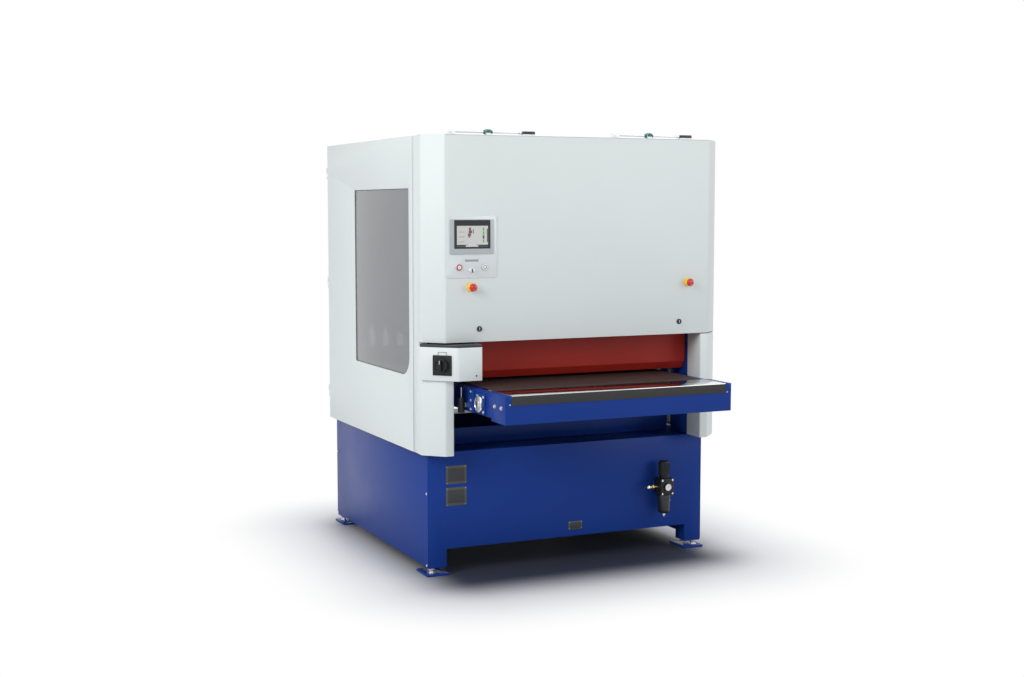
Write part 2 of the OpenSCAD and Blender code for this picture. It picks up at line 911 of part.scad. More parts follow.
module control_plate() {
    color(zinc) difference() {
        union() {
            translate([0, front_y, 0]) rotate([90, 0, 0]) linear_extrude(height = plate_thick)
                rounded([plate_x - plate_w / 2, plate_low_z],
                    [plate_x + plate_w / 2, plate_low_z + plate_h],
                    [plate_corner_r, plate_corner_r, over, over]);
            for (s = [-1, 1]) difference() {
                bar_y([plate_x + s * button_in, front_y - plate_thick - button_ring_h, button_z],
                    button_ring_h, button_ring_r);
                bar_y([plate_x + s * button_in, front_y - plate_thick - button_ring_h - over,
                    button_z], button_ring_h + over, button_r + running * 2);
            }
        }
        hood_holes(panel_body_in - panel_fit, button_stem_r + running, key_stem_r + running);
    }
}

module touch_panel() {
    face_y = front_y - plate_thick;
    color(dark_grey) {
        block([plate_x - panel_w / 2, face_y - panel_t, panel_low_z],
            [plate_x + panel_w / 2, face_y, panel_low_z + panel_h]);
        block([plate_x - panel_w / 2 + panel_body_in, face_y, panel_low_z + panel_body_in],
            [plate_x + panel_w / 2 - panel_body_in, face_y + panel_body_d,
            panel_low_z + panel_h - panel_body_in]);
    }
}

module push_button(x) {
    cap_back = front_y - plate_thick - button_travel - apart;
    bar_y([x, cap_back - button_t, button_z], button_t, button_r);
    bar_y([x, cap_back, button_z], stem_len, button_stem_r);
}

module start_button() {
    color([0.85, 0.86, 0.86]) push_button(plate_x + button_in);
}

module stop_button() {
    color(signal_red) push_button(plate_x - button_in);
}

module key_switch() {
    color(steel) translate([plate_x, front_y - plate_thick - apart, key_z]) {
        bar_y([0, -key_h, 0], key_h, key_r);
        block([-key_bit[0] / 2, -key_h - key_bit[1], -key_bit[2] / 2],
            [key_bit[0] / 2, -key_h, key_bit[2] / 2]);
        bar_y([0, 0, 0], stem_len, key_stem_r);
    }
}

module e_stop_collars() {
    color(signal_yellow) for (x = stop_x) difference() {
        bar_y([x, front_y - stop_collar_h, stop_z], stop_collar_h, stop_collar_r);
        bar_y([x, front_y - stop_collar_h - over, stop_z], stop_collar_h + over * 2,
            stop_stem_r + running);
    }
}

// Mushroom head with a domed front
module e_stop_head(x) {
    back = front_y - stop_collar_h - stop_travel - apart;
    rim = stop_head_h / 2;
    translate([x, back, stop_z]) {
        rotate([90, 0, 0]) rotate_extrude() polygon(concat([[0, 0], [stop_head_r, 0]],
            [for (a = [0:15:90]) [stop_head_r * cos(a), rim + rim * sin(a)]]));
        bar_y([0, 0, 0], stop_collar_h + stem_len, stop_stem_r);
    }
}

module e_stop_left() {
    color(signal_red) e_stop_head(stop_x[0]);
}

module e_stop_right() {
    color(signal_red) e_stop_head(stop_x[1]);
}

// Quarter-turn latch: a slotted head in front of the hood and a cam behind it
module latch(x) {
    translate([x, front_y, latch_z]) {
        difference() {
            bar_y([0, -latch_h - apart, 0], latch_h, latch_r);
            block([-latch_slot[0] / 2, -latch_h - apart - over, -latch_slot[2] / 2],
                [latch_slot[0] / 2, -latch_h - apart + latch_slot[1], latch_slot[2] / 2]);
        }
        bar_y([0, -apart - over, 0], stem_len, latch_stem_r);
        block([-latch_cam[0] / 2, stem_len - latch_cam[1], -latch_stem_r],
            [latch_cam[0] / 2, stem_len, latch_cam[2]]);
    }
}

module latch_left() {
    color(black_part) latch(-latch_x);
}

module latch_right() {
    color(black_part) latch(latch_x);
}

// Folded guard over the infeed, hung on a rod
module infeed_guard() {
    guard_half = col_in - guard_side;
    color(guard_red) {
        along_x(-guard_half, guard_half * 2) polygon(folded([
            [guard_y, guard_top_z], [guard_y, guard_fold_z], [guard_y + guard_lip, guard_low_z]],
            guard_t));
        bar_x([-col_in - guard_pin_in, guard_rod_y, guard_top_z], (col_in + guard_pin_in) * 2,
            guard_rod_r);
    }
}

// Conveyor table
module table_frame() {
    axes_y = [idler_y, drive_y];
    cross_from = beam_back;
    cross_run = rail_back - beam_back;
    color(blue_paint) {
        difference() {
            union() {
                both_sides() {
                    block([conv_half - rail_t, beam_back, rail_bottom],
                        [conv_half, rail_back, beam_top]);
                    block([nose_half, beam_back, beam_top - rail_lip],
                        [conv_half, rail_back, beam_top]);
                    block([nose_half, conv_front, beam_top],
                        [conv_half, idler_y - belt_out_r, beam_top + nose_t]);
                }
                channel([-conv_half, conv_front, beam_bottom], [conv_half, beam_back, beam_top],
                    beam_wall, [0, 0, -1]);
            }
            for (y = axes_y) both_sides() bar_x([conv_half - rail_t - over, y, roller_z],
                rail_t + over * 2, shaft_hole_r);
        }
        for (s = cross_shares) let (y = cross_from + cross_run * s)
            channel([-conv_half + rail_t, y - cross_w / 2, slide_top - slide_plate_t - cross_h],
                [conv_half - rail_t, y + cross_w / 2, slide_top - slide_plate_t],
                beam_wall, [2, 0, -1]);
        block([-belt_half, idler_y + roller_r + slide_gap, slide_top - slide_plate_t],
            [belt_half, drive_y - roller_r - slide_gap, slide_top]);
        both_sides() for (s = [-1, 1]) {
            block([conv_half, s * lift_y - lift_lug_d / 2, rail_bottom],
                [lift_x + lift_lug_out, s * lift_y + lift_lug_d / 2, rail_bottom + lift_lug_h]);
            bar_z([lift_x, s * lift_y, lift_tube_top - lift_rod_in],
                rail_bottom + lift_lug_h / 2 - lift_tube_top + lift_rod_in, lift_rod_r);
        }
    }
}

module nose_plate() {
    color(steel) block([-nose_half, conv_front, beam_top],
        [nose_half, idler_y - belt_out_r - belt_edge / 2, beam_top + nose_t]);
}

module safety_strip() {
    color(black_part) block([-nose_half, conv_front - strip_t, beam_top - strip_h],
        [nose_half, conv_front, beam_top]);
}

module conveyor_belt() {
    color(belt_brown) along_x(-belt_half, belt_w)
        belt_section([idler_y, roller_z], roller_r, [drive_y, roller_z], roller_r, belt_t);
}

module bearing(y) {
    difference() {
        union() {
            block([conv_half, y - bearing_s / 2, roller_z - bearing_s / 2],
                [conv_half + bearing_t, y + bearing_s / 2, roller_z + bearing_s / 2]);
            bar_x([conv_half, y, roller_z], bearing_t + bearing_boss_h, bearing_boss_r);
            for (a = [-1, 1], b = [-1, 1])
                bar_x([conv_half, y + a * (bearing_s / 2 - bearing_bolt_r * 2),
                    roller_z + b * (bearing_s / 2 - bearing_bolt_r * 2)],
                    bearing_t + bearing_bolt_h, bearing_bolt_r);
        }
        bar_x([conv_half - over, y, roller_z], bearing_t + bearing_boss_h + over * 2,
            shaft_r + running);
    }
}

module roller_bearings() {
    tie_y = front_y - tie_ahead;
    color(zinc) {
        both_sides() {
            bearing(idler_y);
            translate([conv_half, tie_y - tie_plate[1] / 2, rail_bottom]) cube(tie_plate);
            for (s = [-1, 0, 1]) bar_x([conv_half, tie_y, rail_bottom + tie_plate[2] / 2
                + s * (tie_plate[2] / 2 - bearing_bolt_r * 2)], tie_plate[0] + bearing_bolt_h,
                bearing_bolt_r);
            for (d = beam_bolt_in) bar_x([conv_half, conv_front + d, roller_z + bearing_bolt_r],
                beam_bolt_h, beam_bolt_r);
        }
        mirror([1, 0, 0]) bearing(drive_y);
    }
}

module gear_motor() {
    color(steel) {
        difference() {
            block([conv_half, drive_y - gearbox_s / 2, roller_z - gearbox_s / 2],
                [conv_half + gearbox_w, drive_y + gearbox_s / 2, roller_z + gearbox_s / 2]);
            bar_x([conv_half - over, drive_y, roller_z], gearbox_w * 3 / 4, shaft_r + running);
        }
        bar_z([conv_half + gearbox_w / 2 + gear_motor_r / 4, drive_y,
            roller_z - gearbox_s / 2 - gear_motor_h], gear_motor_h, gear_motor_r);
    }
}

module drive_roller() {
    color(black_part) {
        bar_x([-belt_half, drive_y, roller_z], belt_w, roller_r);
        bar_x([-conv_half - bearing_t, drive_y, roller_z],
            conv_half * 2 + bearing_t + gearbox_w / 2, shaft_r);
    }
}

module idler_roller() {
    reach = conv_half + bearing_t + bearing_boss_h;
    color(zinc) {
        bar_x([-belt_half, idler_y, roller_z], belt_w, roller_r);
        bar_x([-reach - disc_end_t, idler_y, roller_z], (reach + disc_end_t) * 2, shaft_r);
        both_sides() bar_x([reach + apart, idler_y, roller_z], disc_end_t - apart, disc_end_r);
    }
}

module tracking_sensor() {
    low_z = rail_bottom - bearing_t;
    color(black_part) {
        block([-conv_half - sensor_out - sensor_r, sensor_y - sensor_r / 2, low_z + sensor_h / 3],
            [-conv_half, sensor_y + sensor_r / 2, low_z + sensor_h * 2 / 3]);
        bar_z([-conv_half - sensor_out - sensor_r, sensor_y, low_z], sensor_h, sensor_r);
        bar_z([-conv_half - sensor_out - sensor_r, sensor_y, low_z + sensor_h], sensor_feeler_h,
            sensor_feeler_r);
    }
}

module lift_columns() {
    color(steel) both_sides() for (s = [-1, 1]) difference() {
        union() {
            bar_z([lift_x, s * lift_y, sill_top], lift_tube_top - sill_top, lift_tube_r);
            bar_z([lift_x, s * lift_y, sill_top], lift_flange_t, lift_flange_r);
        }
        bar_z([lift_x, s * lift_y, sill_top + lift_flange_t], lift_tube_top - sill_top,
            lift_rod_r + running);
    }
}

// Working heads
module head_side() {
    block([plate_in, plate_front, plate_low], [col_in, plate_back, plate_high]);
    block([plate_in, drum_y - tower_half, plate_high - over],
        [col_in, drum_y + tower_half, tension_z + tower_over]);
}

module head_frame() {
    bore_x = plate_in - over;
    bore_len = plate_t + over * 2;
    color(steel) difference() {
        union() {
            both_sides() head_side();
            for (s = [-1, 1]) bar_x([-col_in + over, rotor_y + s * rail_bar_off,
                carriage_z + carriage_h / 2], (col_in - over) * 2, rail_bar_r);
            block([-plate_in, motor_y - motor_plate_d / 2, motor_z - motor_foot_h - motor_plate_t],
                [plate_in, motor_y + motor_plate_d / 2, motor_z - motor_foot_h]);
            block([-plate_in, plate_front, tie_z], [plate_in, plate_front + tie_s, tie_z + tie_s]);
        }
        both_sides() {
            bar_x([bore_x, drum_y, drum_z], bore_len, drum_shaft_r + running);
            bar_x([bore_x, drum_y, tension_z], bore_len, tension_shaft_r + running);
            for (y = [press_front_y, press_back_y])
                bar_x([bore_x, y, press_z], bore_len, press_shaft_r + running);
            for (y = [rotor_y - rail_bar_off * 2, rotor_y, rotor_y + rail_bar_off * 2])
                bar_x([bore_x, y, plate_low + view_hole_r * 2], bore_len, view_hole_r);
        }
        bar_x([bore_x, motor_y, motor_z], bore_len, motor_shaft_r * 2);
        for (place = lever_places)
            bar_x([-col_in - over, place[0], place[1]], bore_len, lever_shaft_r + running);
    }
}

module contact_drum() {
    color(black_part) {
        bar_x([-drum_half, drum_y, drum_z], drum_half * 2, drum_r);
        bar_x([-col_in - shaft_past, drum_y, drum_z],
            col_in + pulley_x + pulley_w + shaft_past * 2, drum_shaft_r);
        bar_x([pulley_x, drum_y, drum_z], pulley_w, drum_pulley_r);
    }
}

module tension_roller() {
    color(zinc) {
        bar_x([-drum_half, drum_y, tension_z], drum_half * 2, tension_r);
        bar_x([-col_in - shaft_past, drum_y, tension_z], (col_in + shaft_past) * 2,
            tension_shaft_r);
    }
}

module abrasive_belt() {
    color([0.45, 0.28, 0.2]) along_x(-drum_half, drum_half * 2)
        belt_section([drum_y, drum_z], drum_r, [drum_y, tension_z], tension_r, sand_t);
}

module belt_motor() {
    motor_x = plate_in - motor_gap;
    color(blue_paint) difference() {
        union() {
            bar_x([motor_x - motor_len, motor_y, motor_z], motor_len, motor_r);
            block([motor_x - motor_len * 3 / 4, motor_y - motor_r * 3 / 4, motor_z - motor_foot_h],
                [motor_x - motor_len / 4, motor_y + motor_r * 3 / 4, motor_z]);
        }
        bar_x([motor_x - motor_shaft_in, motor_y, motor_z], motor_shaft_in + over,
            motor_shaft_r + running);
    }
}

module motor_pulley() {
    shaft_from = plate_in - motor_gap - motor_shaft_in + over;
    color(steel) {
        bar_x([shaft_from, motor_y, motor_z], pulley_x + pulley_w + shaft_past - shaft_from,
            motor_shaft_r);
        bar_x([pulley_x, motor_y, motor_z], pulley_w, motor_pulley_r);
    }
}

module drive_belt() {
    color(black_part) along_x(pulley_x + (pulley_w - vee_w) / 2, vee_w)
        belt_section([drum_y, drum_z], drum_pulley_r, [motor_y, motor_z], motor_pulley_r, vee_t);
}

// Brush unit: a carriage on two bars, a rotor under it and three discs on the rotor
module brush_carriage() {
    spindle_low = rotor_z + rotor_t + housing_gap;
    color(blue_paint) difference() {
        union() {
            block([-carriage_half, rotor_y - carriage_d, carriage_z],
                [carriage_half, rotor_y + carriage_d, carriage_z + carriage_h]);
            bar_z([0, rotor_y, carriage_z + carriage_h], spin_motor_h, spin_motor_r);
            bar_z([0, rotor_y, spindle_low], carriage_z - spindle_low + over, housing_r);
        }
        for (s = [-1, 1]) bar_x([-carriage_half - over, rotor_y + s * rail_bar_off,
            carriage_z + carriage_h / 2], (carriage_half + over) * 2, rail_bar_r + running);
        bar_z([0, rotor_y, spindle_low - over], rotor_shaft_h + over, rotor_shaft_r + running);
    }
}

function disc_place(i) = [disc_pitch * cos(90 + 120 * i), rotor_y + disc_pitch * sin(90 + 120 * i)];

module brush_rotor() {
    color(steel) difference() {
        union() {
            bar_z([0, rotor_y, rotor_z], rotor_t, rotor_r);
            bar_z([0, rotor_y, rotor_z + rotor_t - over], rotor_shaft_h, rotor_shaft_r);
        }
        for (i = [0:2]) bar_z([disc_place(i)[0], disc_place(i)[1], rotor_z - over],
            rotor_t + over * 2, disc_stem_r + running);
    }
}

module brush_disc(i) {
    plate_z = head_z + bristle_h;
    color([0.55, 0.36, 0.2]) translate([disc_place(i)[0], disc_place(i)[1], 0]) {
        difference() {
            bar_z([0, 0, head_z], bristle_h + disc_plate_t, disc_r);
            bar_z([0, 0, head_z - over], bristle_h + over, bristle_bore_r);
        }
        bar_z([0, 0, plate_z], rotor_z + rotor_t - plate_z, disc_stem_r);
    }
}

module brush_disc_1() {
    brush_disc(0);
}

module brush_disc_2() {
    brush_disc(1);
}

module brush_disc_3() {
    brush_disc(2);
}

module pressure_roller(y) {
    color(black_part) {
        bar_x([-press_half, y, press_z], press_half * 2, press_r);
        bar_x([-col_in + over, y, press_z], (col_in - over) * 2, press_shaft_r);
    }
}

module pressure_roller_front() {
    pressure_roller(press_front_y);
}

module pressure_roller_rear() {
    pressure_roller(press_back_y);
}

module ball_lever(place) {
    arm_x = lever_w - lever_hub_h;
    color(black_part) translate([-col_in - apart, place[0], place[1]]) {
        bar_x([-lever_hub_h, 0, 0], lever_hub_h, lever_hub_r);
        bar_x([0, 0, 0], apart + plate_t, lever_shaft_r);
        bar_z([arm_x, 0, 0], lever_len, lever_w);
        translate([arm_x, 0, lever_len]) sphere(r = lever_ball_r);
    }
}

module tension_lever() {
    ball_lever(lever_places[0]);
}

module brush_lever() {
    ball_lever(lever_places[1]);
}

// Compressed air service unit and the blank plates on the front of the base
module service_unit() {
    unit_y = base_front - unit_ahead;
    color(black_part) difference() {
        union() {
            block([unit_x - unit_s[0] / 2, unit_y - unit_s[1] / 2, unit_z],
                [unit_x + unit_s[0] / 2, unit_y + unit_s[1] / 2, unit_z + unit_s[2]]);
            block([unit_x - unit_bracket[0] / 2, unit_y, unit_z + unit_s[2] / 2
                - unit_bracket[1] / 2], [unit_x + unit_bracket[0] / 2, base_front,
                unit_z + unit_s[2] / 2 + unit_bracket[1] / 2]);
            bar_z([unit_x, unit_y, unit_z - bowl_h], bowl_h, bowl_r);
            bar_z([unit_x, unit_y, unit_z - bowl_h - drain_h], drain_h, drain_r);
            bar_z([unit_x, unit_y, unit_z + unit_s[2]], neck_h, neck_r);
            bar_z([unit_x, unit_y, unit_z + unit_s[2] + neck_h], spindle_h, spindle_r);
            bar_x([unit_x - unit_s[0] / 2 - inlet_len, unit_y, unit_z + unit_s[2] / 2], inlet_len,
                inlet_r);
            bar_y([unit_x, unit_y - unit_s[1] / 2 - gauge_h, unit_z + unit_s[2] / 2], gauge_h,
                gauge_r);
        }
        bar_x([unit_x - unit_s[0] / 2 - inlet_len - over, unit_y, unit_z + unit_s[2] / 2],
            inlet_depth + over, inlet_bore_r);
    }
}

module regulator_knob() {
    low_z = unit_z + unit_s[2] + neck_h + apart;
    color(black_part) difference() {
        bar_z([unit_x, base_front - unit_ahead, low_z], reg_knob_h, reg_knob_r);
        bar_z([unit_x, base_front - unit_ahead, low_z - over], spindle_h + over,
            spindle_r + running);
    }
}

module type_plates() {
    color([0.45, 0.45, 0.4]) {
        for (z = label_z) block([label_x - label_w / 2, base_front - plate_thin, z - label_h / 2],
            [label_x + label_w / 2, base_front, z + label_h / 2]);
        block([small_label_x - small_label[0] / 2, base_front - plate_thin,
            small_label_z - small_label[1] / 2], [small_label_x + small_label[0] / 2, base_front,
            small_label_z + small_label[1] / 2]);
    }
}

base_frame();
base_end_panels();
base_side_covers();
cover_screws();
levelling_feet();
portal_frame();
post_covers();
switch_box();
switch_box_lip();
main_switch_plate();
main_switch_knob();
side_panel_right();
rear_panel();
roof_panel();
hood_hinges();
hood();
hinge_bushes();
control_plate();
touch_panel();
start_button();
stop_button();
key_switch();
e_stop_collars();
e_stop_left();
e_stop_right();
latch_left();
latch_right();
side_door();
side_window();
door_hinges();
infeed_guard();
table_frame();
nose_plate();
safety_strip();
conveyor_belt();
roller_bearings();
gear_motor();
drive_roller();
idler_roller();
tracking_sensor();
lift_columns();
head_frame();
contact_drum();
tension_roller();
abrasive_belt();
belt_motor();
motor_pulley();
drive_belt();
brush_carriage();
brush_rotor();
brush_disc_1();
brush_disc_2();
brush_disc_3();
pressure_roller_front();
pressure_roller_rear();
tension_lever();
brush_lever();
service_unit();
regulator_knob();
type_plates();
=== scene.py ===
"""Looks of a through-feed deburring machine for sheet metal, built round its fixed frame.

Every length is in metres, in the machine's own frame: X to the right, Y towards the outfeed, Z up.
"""

from __future__ import annotations

import json
import logging
import math
from dataclasses import dataclass
from enum import Enum

import bmesh
import bpy
from mathutils import Matrix, Vector

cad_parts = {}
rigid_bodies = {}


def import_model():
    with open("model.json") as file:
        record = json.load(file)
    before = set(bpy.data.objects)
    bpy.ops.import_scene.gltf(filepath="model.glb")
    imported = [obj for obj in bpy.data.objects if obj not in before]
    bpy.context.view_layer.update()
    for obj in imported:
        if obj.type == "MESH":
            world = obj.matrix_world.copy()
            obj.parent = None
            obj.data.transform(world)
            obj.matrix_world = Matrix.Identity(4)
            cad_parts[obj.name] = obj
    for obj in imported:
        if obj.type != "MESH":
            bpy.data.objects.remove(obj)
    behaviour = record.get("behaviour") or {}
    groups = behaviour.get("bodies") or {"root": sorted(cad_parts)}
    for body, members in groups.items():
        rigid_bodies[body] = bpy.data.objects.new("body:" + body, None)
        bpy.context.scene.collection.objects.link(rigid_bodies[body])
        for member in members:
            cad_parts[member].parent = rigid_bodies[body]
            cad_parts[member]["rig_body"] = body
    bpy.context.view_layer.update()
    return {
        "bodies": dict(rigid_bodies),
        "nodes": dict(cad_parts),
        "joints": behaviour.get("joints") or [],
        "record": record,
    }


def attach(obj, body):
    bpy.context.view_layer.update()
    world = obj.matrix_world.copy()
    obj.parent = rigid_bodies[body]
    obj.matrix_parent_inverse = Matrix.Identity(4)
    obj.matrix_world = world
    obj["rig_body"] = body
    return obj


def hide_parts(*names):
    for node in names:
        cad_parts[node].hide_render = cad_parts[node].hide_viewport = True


LOG = logging.getLogger("deburring_machine")

Point = tuple[float, float, float]
Flat = tuple[float, float]
Piece = bpy.types.Object
Socket = bpy.types.NodeSocket

SIDES = (-1, 1)
CORNERS = [(a, b) for a in SIDES for b in SIDES]


class Axis(Enum):
    """The three directions of the machine's frame."""

    X = "X"
    Y = "Y"
    Z = "Z"

    def step(self, length: float) -> Vector:
        """Return a step of that length along the axis."""
        return Vector([length if a is self else 0 for a in Axis])


class Body(Enum):
    """The moving bodies that pieces ride on."""

    FRAME = "frame"
    MAIN_SWITCH = "main_switch"
    HOOD = "hood"
    START = "start_button"
    STOP = "stop_button"
    KEY = "key_switch"
    E_STOP_LEFT = "e_stop_left"
    E_STOP_RIGHT = "e_stop_right"
    LATCH_LEFT = "latch_left"
    LATCH_RIGHT = "latch_right"
    DOOR = "door"
    GUARD = "guard"
    TABLE = "table"
    IDLER = "idler_roller"
    DRIVE = "drive_roller"
    DRUM = "contact_drum"
    DISC_1 = "disc_1"
    DISC_2 = "disc_2"
    DISC_3 = "disc_3"
    CARRIAGE = "carriage"
    REGULATOR = "regulator"


# Finishes


@dataclass
class Nodes:
    """The nodes of one material or world, with helpers that add to them."""

    tree: bpy.types.NodeTree
    shader: bpy.types.Node | None = None
    place: Socket | None = None

    @classmethod
    def of(cls, material: bpy.types.Material, stretch: Point = (1.0, 1.0, 1.0)) -> Nodes:
        """Open a material's nodes, with textures placed by the object's own coordinates.

        Args:
            material: the new material.
            stretch: the scale of its textures in X, Y and Z.

        Returns:
            The nodes, with the shader and the place of its textures.
        """
        material.use_nodes = True
        nodes = cls(material.node_tree, material.node_tree.nodes["Principled BSDF"])
        spot = nodes.add("TexCoord").outputs["Object"]
        nodes.place = nodes.add("Mapping", {"Vector": spot, "Scale": stretch}).outputs["Vector"]
        return nodes

    def add(self, kind: str, inputs: dict | None = None, **settings: object) -> bpy.types.Node:
        """Add a node.

        Args:
            kind: the node's type, without its prefix.
            inputs: the values of its inputs, or the sockets that feed them.
            **settings: its properties.

        Returns:
            The new node.
        """
        made = self.tree.nodes.new("ShaderNode" + kind)
        for key, value in settings.items():
            setattr(made, key, value)
        self.feed(made, inputs or {})
        return made

    def feed(self, node: bpy.types.Node, inputs: dict) -> None:
        """Set or link the inputs of a node.

        Args:
            node: the node.
            inputs: the values of its inputs, or the sockets that feed them.
        """
        for key, value in inputs.items():
            if isinstance(value, Socket):
                self.tree.links.new(value, node.inputs[key])
            else:
                node.inputs[key].default_value = value

    def noise(self, size: float, detail: float) -> Socket:
        """Add noise with features of about that size in metres."""
        return self.add("TexNoise", {"Vector": self.place, "Scale": 1.0 / size,
            "Detail": detail}).outputs["Fac"]

    def ramp(self, factor: Socket, low: Point, high: Point, stops: Flat = (0.0, 1.0)) -> Socket:
        """Add a colour that runs from low to high between two stops of a factor.

        Args:
            factor: the socket that drives it.
            low: the colour at the first stop.
            high: the colour at the second stop.
            stops: the two stops.

        Returns:
            The socket of the colour.
        """
        made = self.add("ValToRGB", {"Fac": factor})
        for end, stop, colour in zip(made.color_ramp.elements, stops, (low, high)):
            end.position = stop
            end.color = (*colour, 1.0)
        return made.outputs["Color"]

    def bump(self, height: Socket, strength: float, depth: float,
            under: dict | None = None) -> Socket:
        """Add a relief, over another one where under holds it."""
        return self.add("Bump", {"Height": height, "Strength": strength, "Distance": depth,
            **(under or {})}).outputs["Normal"]

    def maths(self, operation: str, first: Socket, second: Socket) -> Socket:
        """Add an operation on two values."""
        return self.add("Math", {0: first, 1: second}, operation=operation).outputs["Value"]


@dataclass(frozen=True)
class Finish:
    """A surface finish that makes its own node material once.

    The colour is linear RGB, and the grain is the size of the fine texture in metres.
    """

    name: str
    colour: tuple[float, float, float]
    roughness: float = 0.5
    metallic: float = 0.0
    grain: float = 0.0012
    relief: float = 0.00004
    mottle: float = 0.04
    patch: float = 0.35
    coat: float = 0.0
    specular: float = 0.5
    stretch: Point = (1.0, 1.0, 1.0)

    def material(self) -> bpy.types.Material:
        """Return the finish's material, made on its first use."""
        found = bpy.data.materials.get(self.name)
        return found if found else self.make()

    def on(self, piece: Piece) -> Piece:
        """Give a piece this finish all over.

        Args:
            piece: the piece.

        Returns:
            The piece.
        """
        piece.data.materials.clear()
        piece.data.materials.append(self.material())
        return piece

    def make(self) -> bpy.types.Material:
        """Make the material: a mottled colour, uneven roughness and a fine relief.

        Returns:
            The new material.
        """
        material = bpy.data.materials.new(self.name)
        nodes = Nodes.of(material, self.stretch)
        nodes.feed(nodes.shader, {"Metallic": self.metallic, "Coat Weight": self.coat,
            "Specular IOR Level": self.specular})
        self.tint(nodes)
        self.wear(nodes)
        self.raise_grain(nodes)
        self.extra(nodes)
        material.diffuse_color = (*self.colour, 1.0)
        return material

    def tint(self, nodes: Nodes) -> None:
        """Vary the colour softly over the surface.

        Args:
            nodes: the material's nodes.
        """
        low = tuple(c * (1.0 - self.mottle) for c in self.colour)
        high = tuple(min(1.0, c * (1.0 + self.mottle)) for c in self.colour)
        colour = nodes.ramp(nodes.noise(self.patch, 5.0), low, high, (0.3, 0.7))
        nodes.feed(nodes.shader, {"Base Color": colour})

    def wear(self, nodes: Nodes) -> None:
        """Make the gloss slightly uneven, as handling and cleaning leave it.

        Args:
            nodes: the material's nodes.
        """
        smears = nodes.noise(self.patch * 0.25, 4.0)
        spread = nodes.add("MapRange", {"Value": smears, "To Min": max(0.0, self.roughness - 0.05),
            "To Max": min(1.0, self.roughness + 0.05)})
        nodes.feed(nodes.shader, {"Roughness": spread.outputs["Result"]})

    def raise_grain(self, nodes: Nodes) -> None:
        """Give the surface its fine relief."""
        fine = nodes.noise(self.grain, 2.0)
        nodes.feed(nodes.shader, {"Normal": nodes.bump(fine, 0.6, self.relief)})

    def extra(self, nodes: Nodes) -> None:
        """Add what only one kind of finish has."""


@dataclass(frozen=True)
class Glow(Finish):
    """A lit face of the touch panel."""

    strength: float = 0.6

    def extra(self, nodes: Nodes) -> None:
        """Light the face in its own colour."""
        nodes.feed(nodes.shader, {"Emission Color": (*self.colour, 1.0),
            "Emission Strength": self.strength})


@dataclass(frozen=True)
class Pane(Finish):
    """A tinted clear pane."""

    alpha: float = 0.5

    def extra(self, nodes: Nodes) -> None:
        """Let part of the light through."""
        nodes.feed(nodes.shader, {"Alpha": self.alpha})


@dataclass(frozen=True)
class Grit(Finish):
    """An abrasive surface with grains in two tones."""

    def tint(self, nodes: Nodes) -> None:
        """Scatter light and dark grains.

        Args:
            nodes: the material's nodes.
        """
        cells = nodes.add("TexVoronoi", {"Vector": nodes.place, "Scale": 1.0 / self.grain})
        dark = tuple(c * 0.6 for c in self.colour)
        light = tuple(min(1.0, c * 1.5) for c in self.colour)
        nodes.feed(nodes.shader, {"Base Color": nodes.ramp(cells.outputs["Color"], dark, light)})


@dataclass(frozen=True)
class Ribbed(Finish):
    """A conveyor belt with fine cross ribs."""

    pitch: float = 0.004

    def raise_grain(self, nodes: Nodes) -> None:
        """Add ribs across the belt under a fine grain.

        Args:
            nodes: the material's nodes.
        """
        wave = nodes.add("TexWave", {"Vector": nodes.place, "Scale": 1.0 / (self.pitch * 3.1416),
            "Distortion": 0.4}, bands_direction="Y")
        ribs = nodes.bump(wave.outputs["Fac"], 0.35, 0.0002)
        fine = nodes.noise(self.grain, 2.0)
        nodes.feed(nodes.shader, {"Normal": nodes.bump(fine, 0.5, self.relief, {"Normal": ribs})})


WHITE = Finish("white_powder_coat", (0.69, 0.735, 0.72), 0.42, mottle=0.015, patch=0.6,
    specular=0.35)
BLUE = Finish("blue_powder_coat", (0.0095, 0.042, 0.245), 0.3, mottle=0.05, patch=0.5, specular=0.1)
RED = Finish("red_powder_coat", (0.38, 0.024, 0.016), 0.34, mottle=0.05, patch=0.3, specular=0.16)
ZINC = Finish("zinc_plate", (0.6, 0.61, 0.62), 0.34, 1.0, mottle=0.1, patch=0.02)
BRIGHT = Finish("bright_steel", (0.72, 0.72, 0.73), 0.1, 1.0, grain=0.004, relief=0.000004,
    mottle=0.02, stretch=(1.0, 18.0, 18.0))
STEEL = Finish("ground_steel", (0.46, 0.47, 0.48), 0.34, 1.0, grain=0.003, relief=0.00002,
    mottle=0.08, patch=0.15, stretch=(1.0, 9.0, 9.0))
GREY_PAINT = Finish("grey_paint", (0.3, 0.315, 0.33), 0.45, mottle=0.05, patch=0.3)
ALUMINIUM = Finish("satin_aluminium", (0.66, 0.68, 0.7), 0.33, 1.0, grain=0.003, relief=0.00001,
    mottle=0.03, patch=0.1, stretch=(1.0, 8.0, 8.0))
SILVER = Finish("silver_front_foil", (0.66, 0.7, 0.715), 0.38, 0.15, mottle=0.02, patch=0.1)
BEZEL = Finish("bezel_foil", (0.42, 0.455, 0.465), 0.4, 0.15, mottle=0.02, patch=0.1)
LIP = Finish("dark_lip_paint", (0.042, 0.046, 0.05), 0.38, mottle=0.05, patch=0.1, specular=0.25)
BLACK = Finish("black_moulding", (0.014, 0.015, 0.016), 0.38, mottle=0.15, patch=0.05,
    specular=0.25)
RUBBER = Finish("black_rubber", (0.02, 0.02, 0.021), 0.62, grain=0.0008, relief=0.00006,
    specular=0.2)
STRIP = Finish("safety_strip_rubber", (0.042, 0.042, 0.041), 0.55, grain=0.001, relief=0.00006,
    specular=0.15)
BELT = Ribbed("conveyor_belt_rubber", (0.05, 0.036, 0.034), 0.5, grain=0.0009, relief=0.00005,
    specular=0.15)
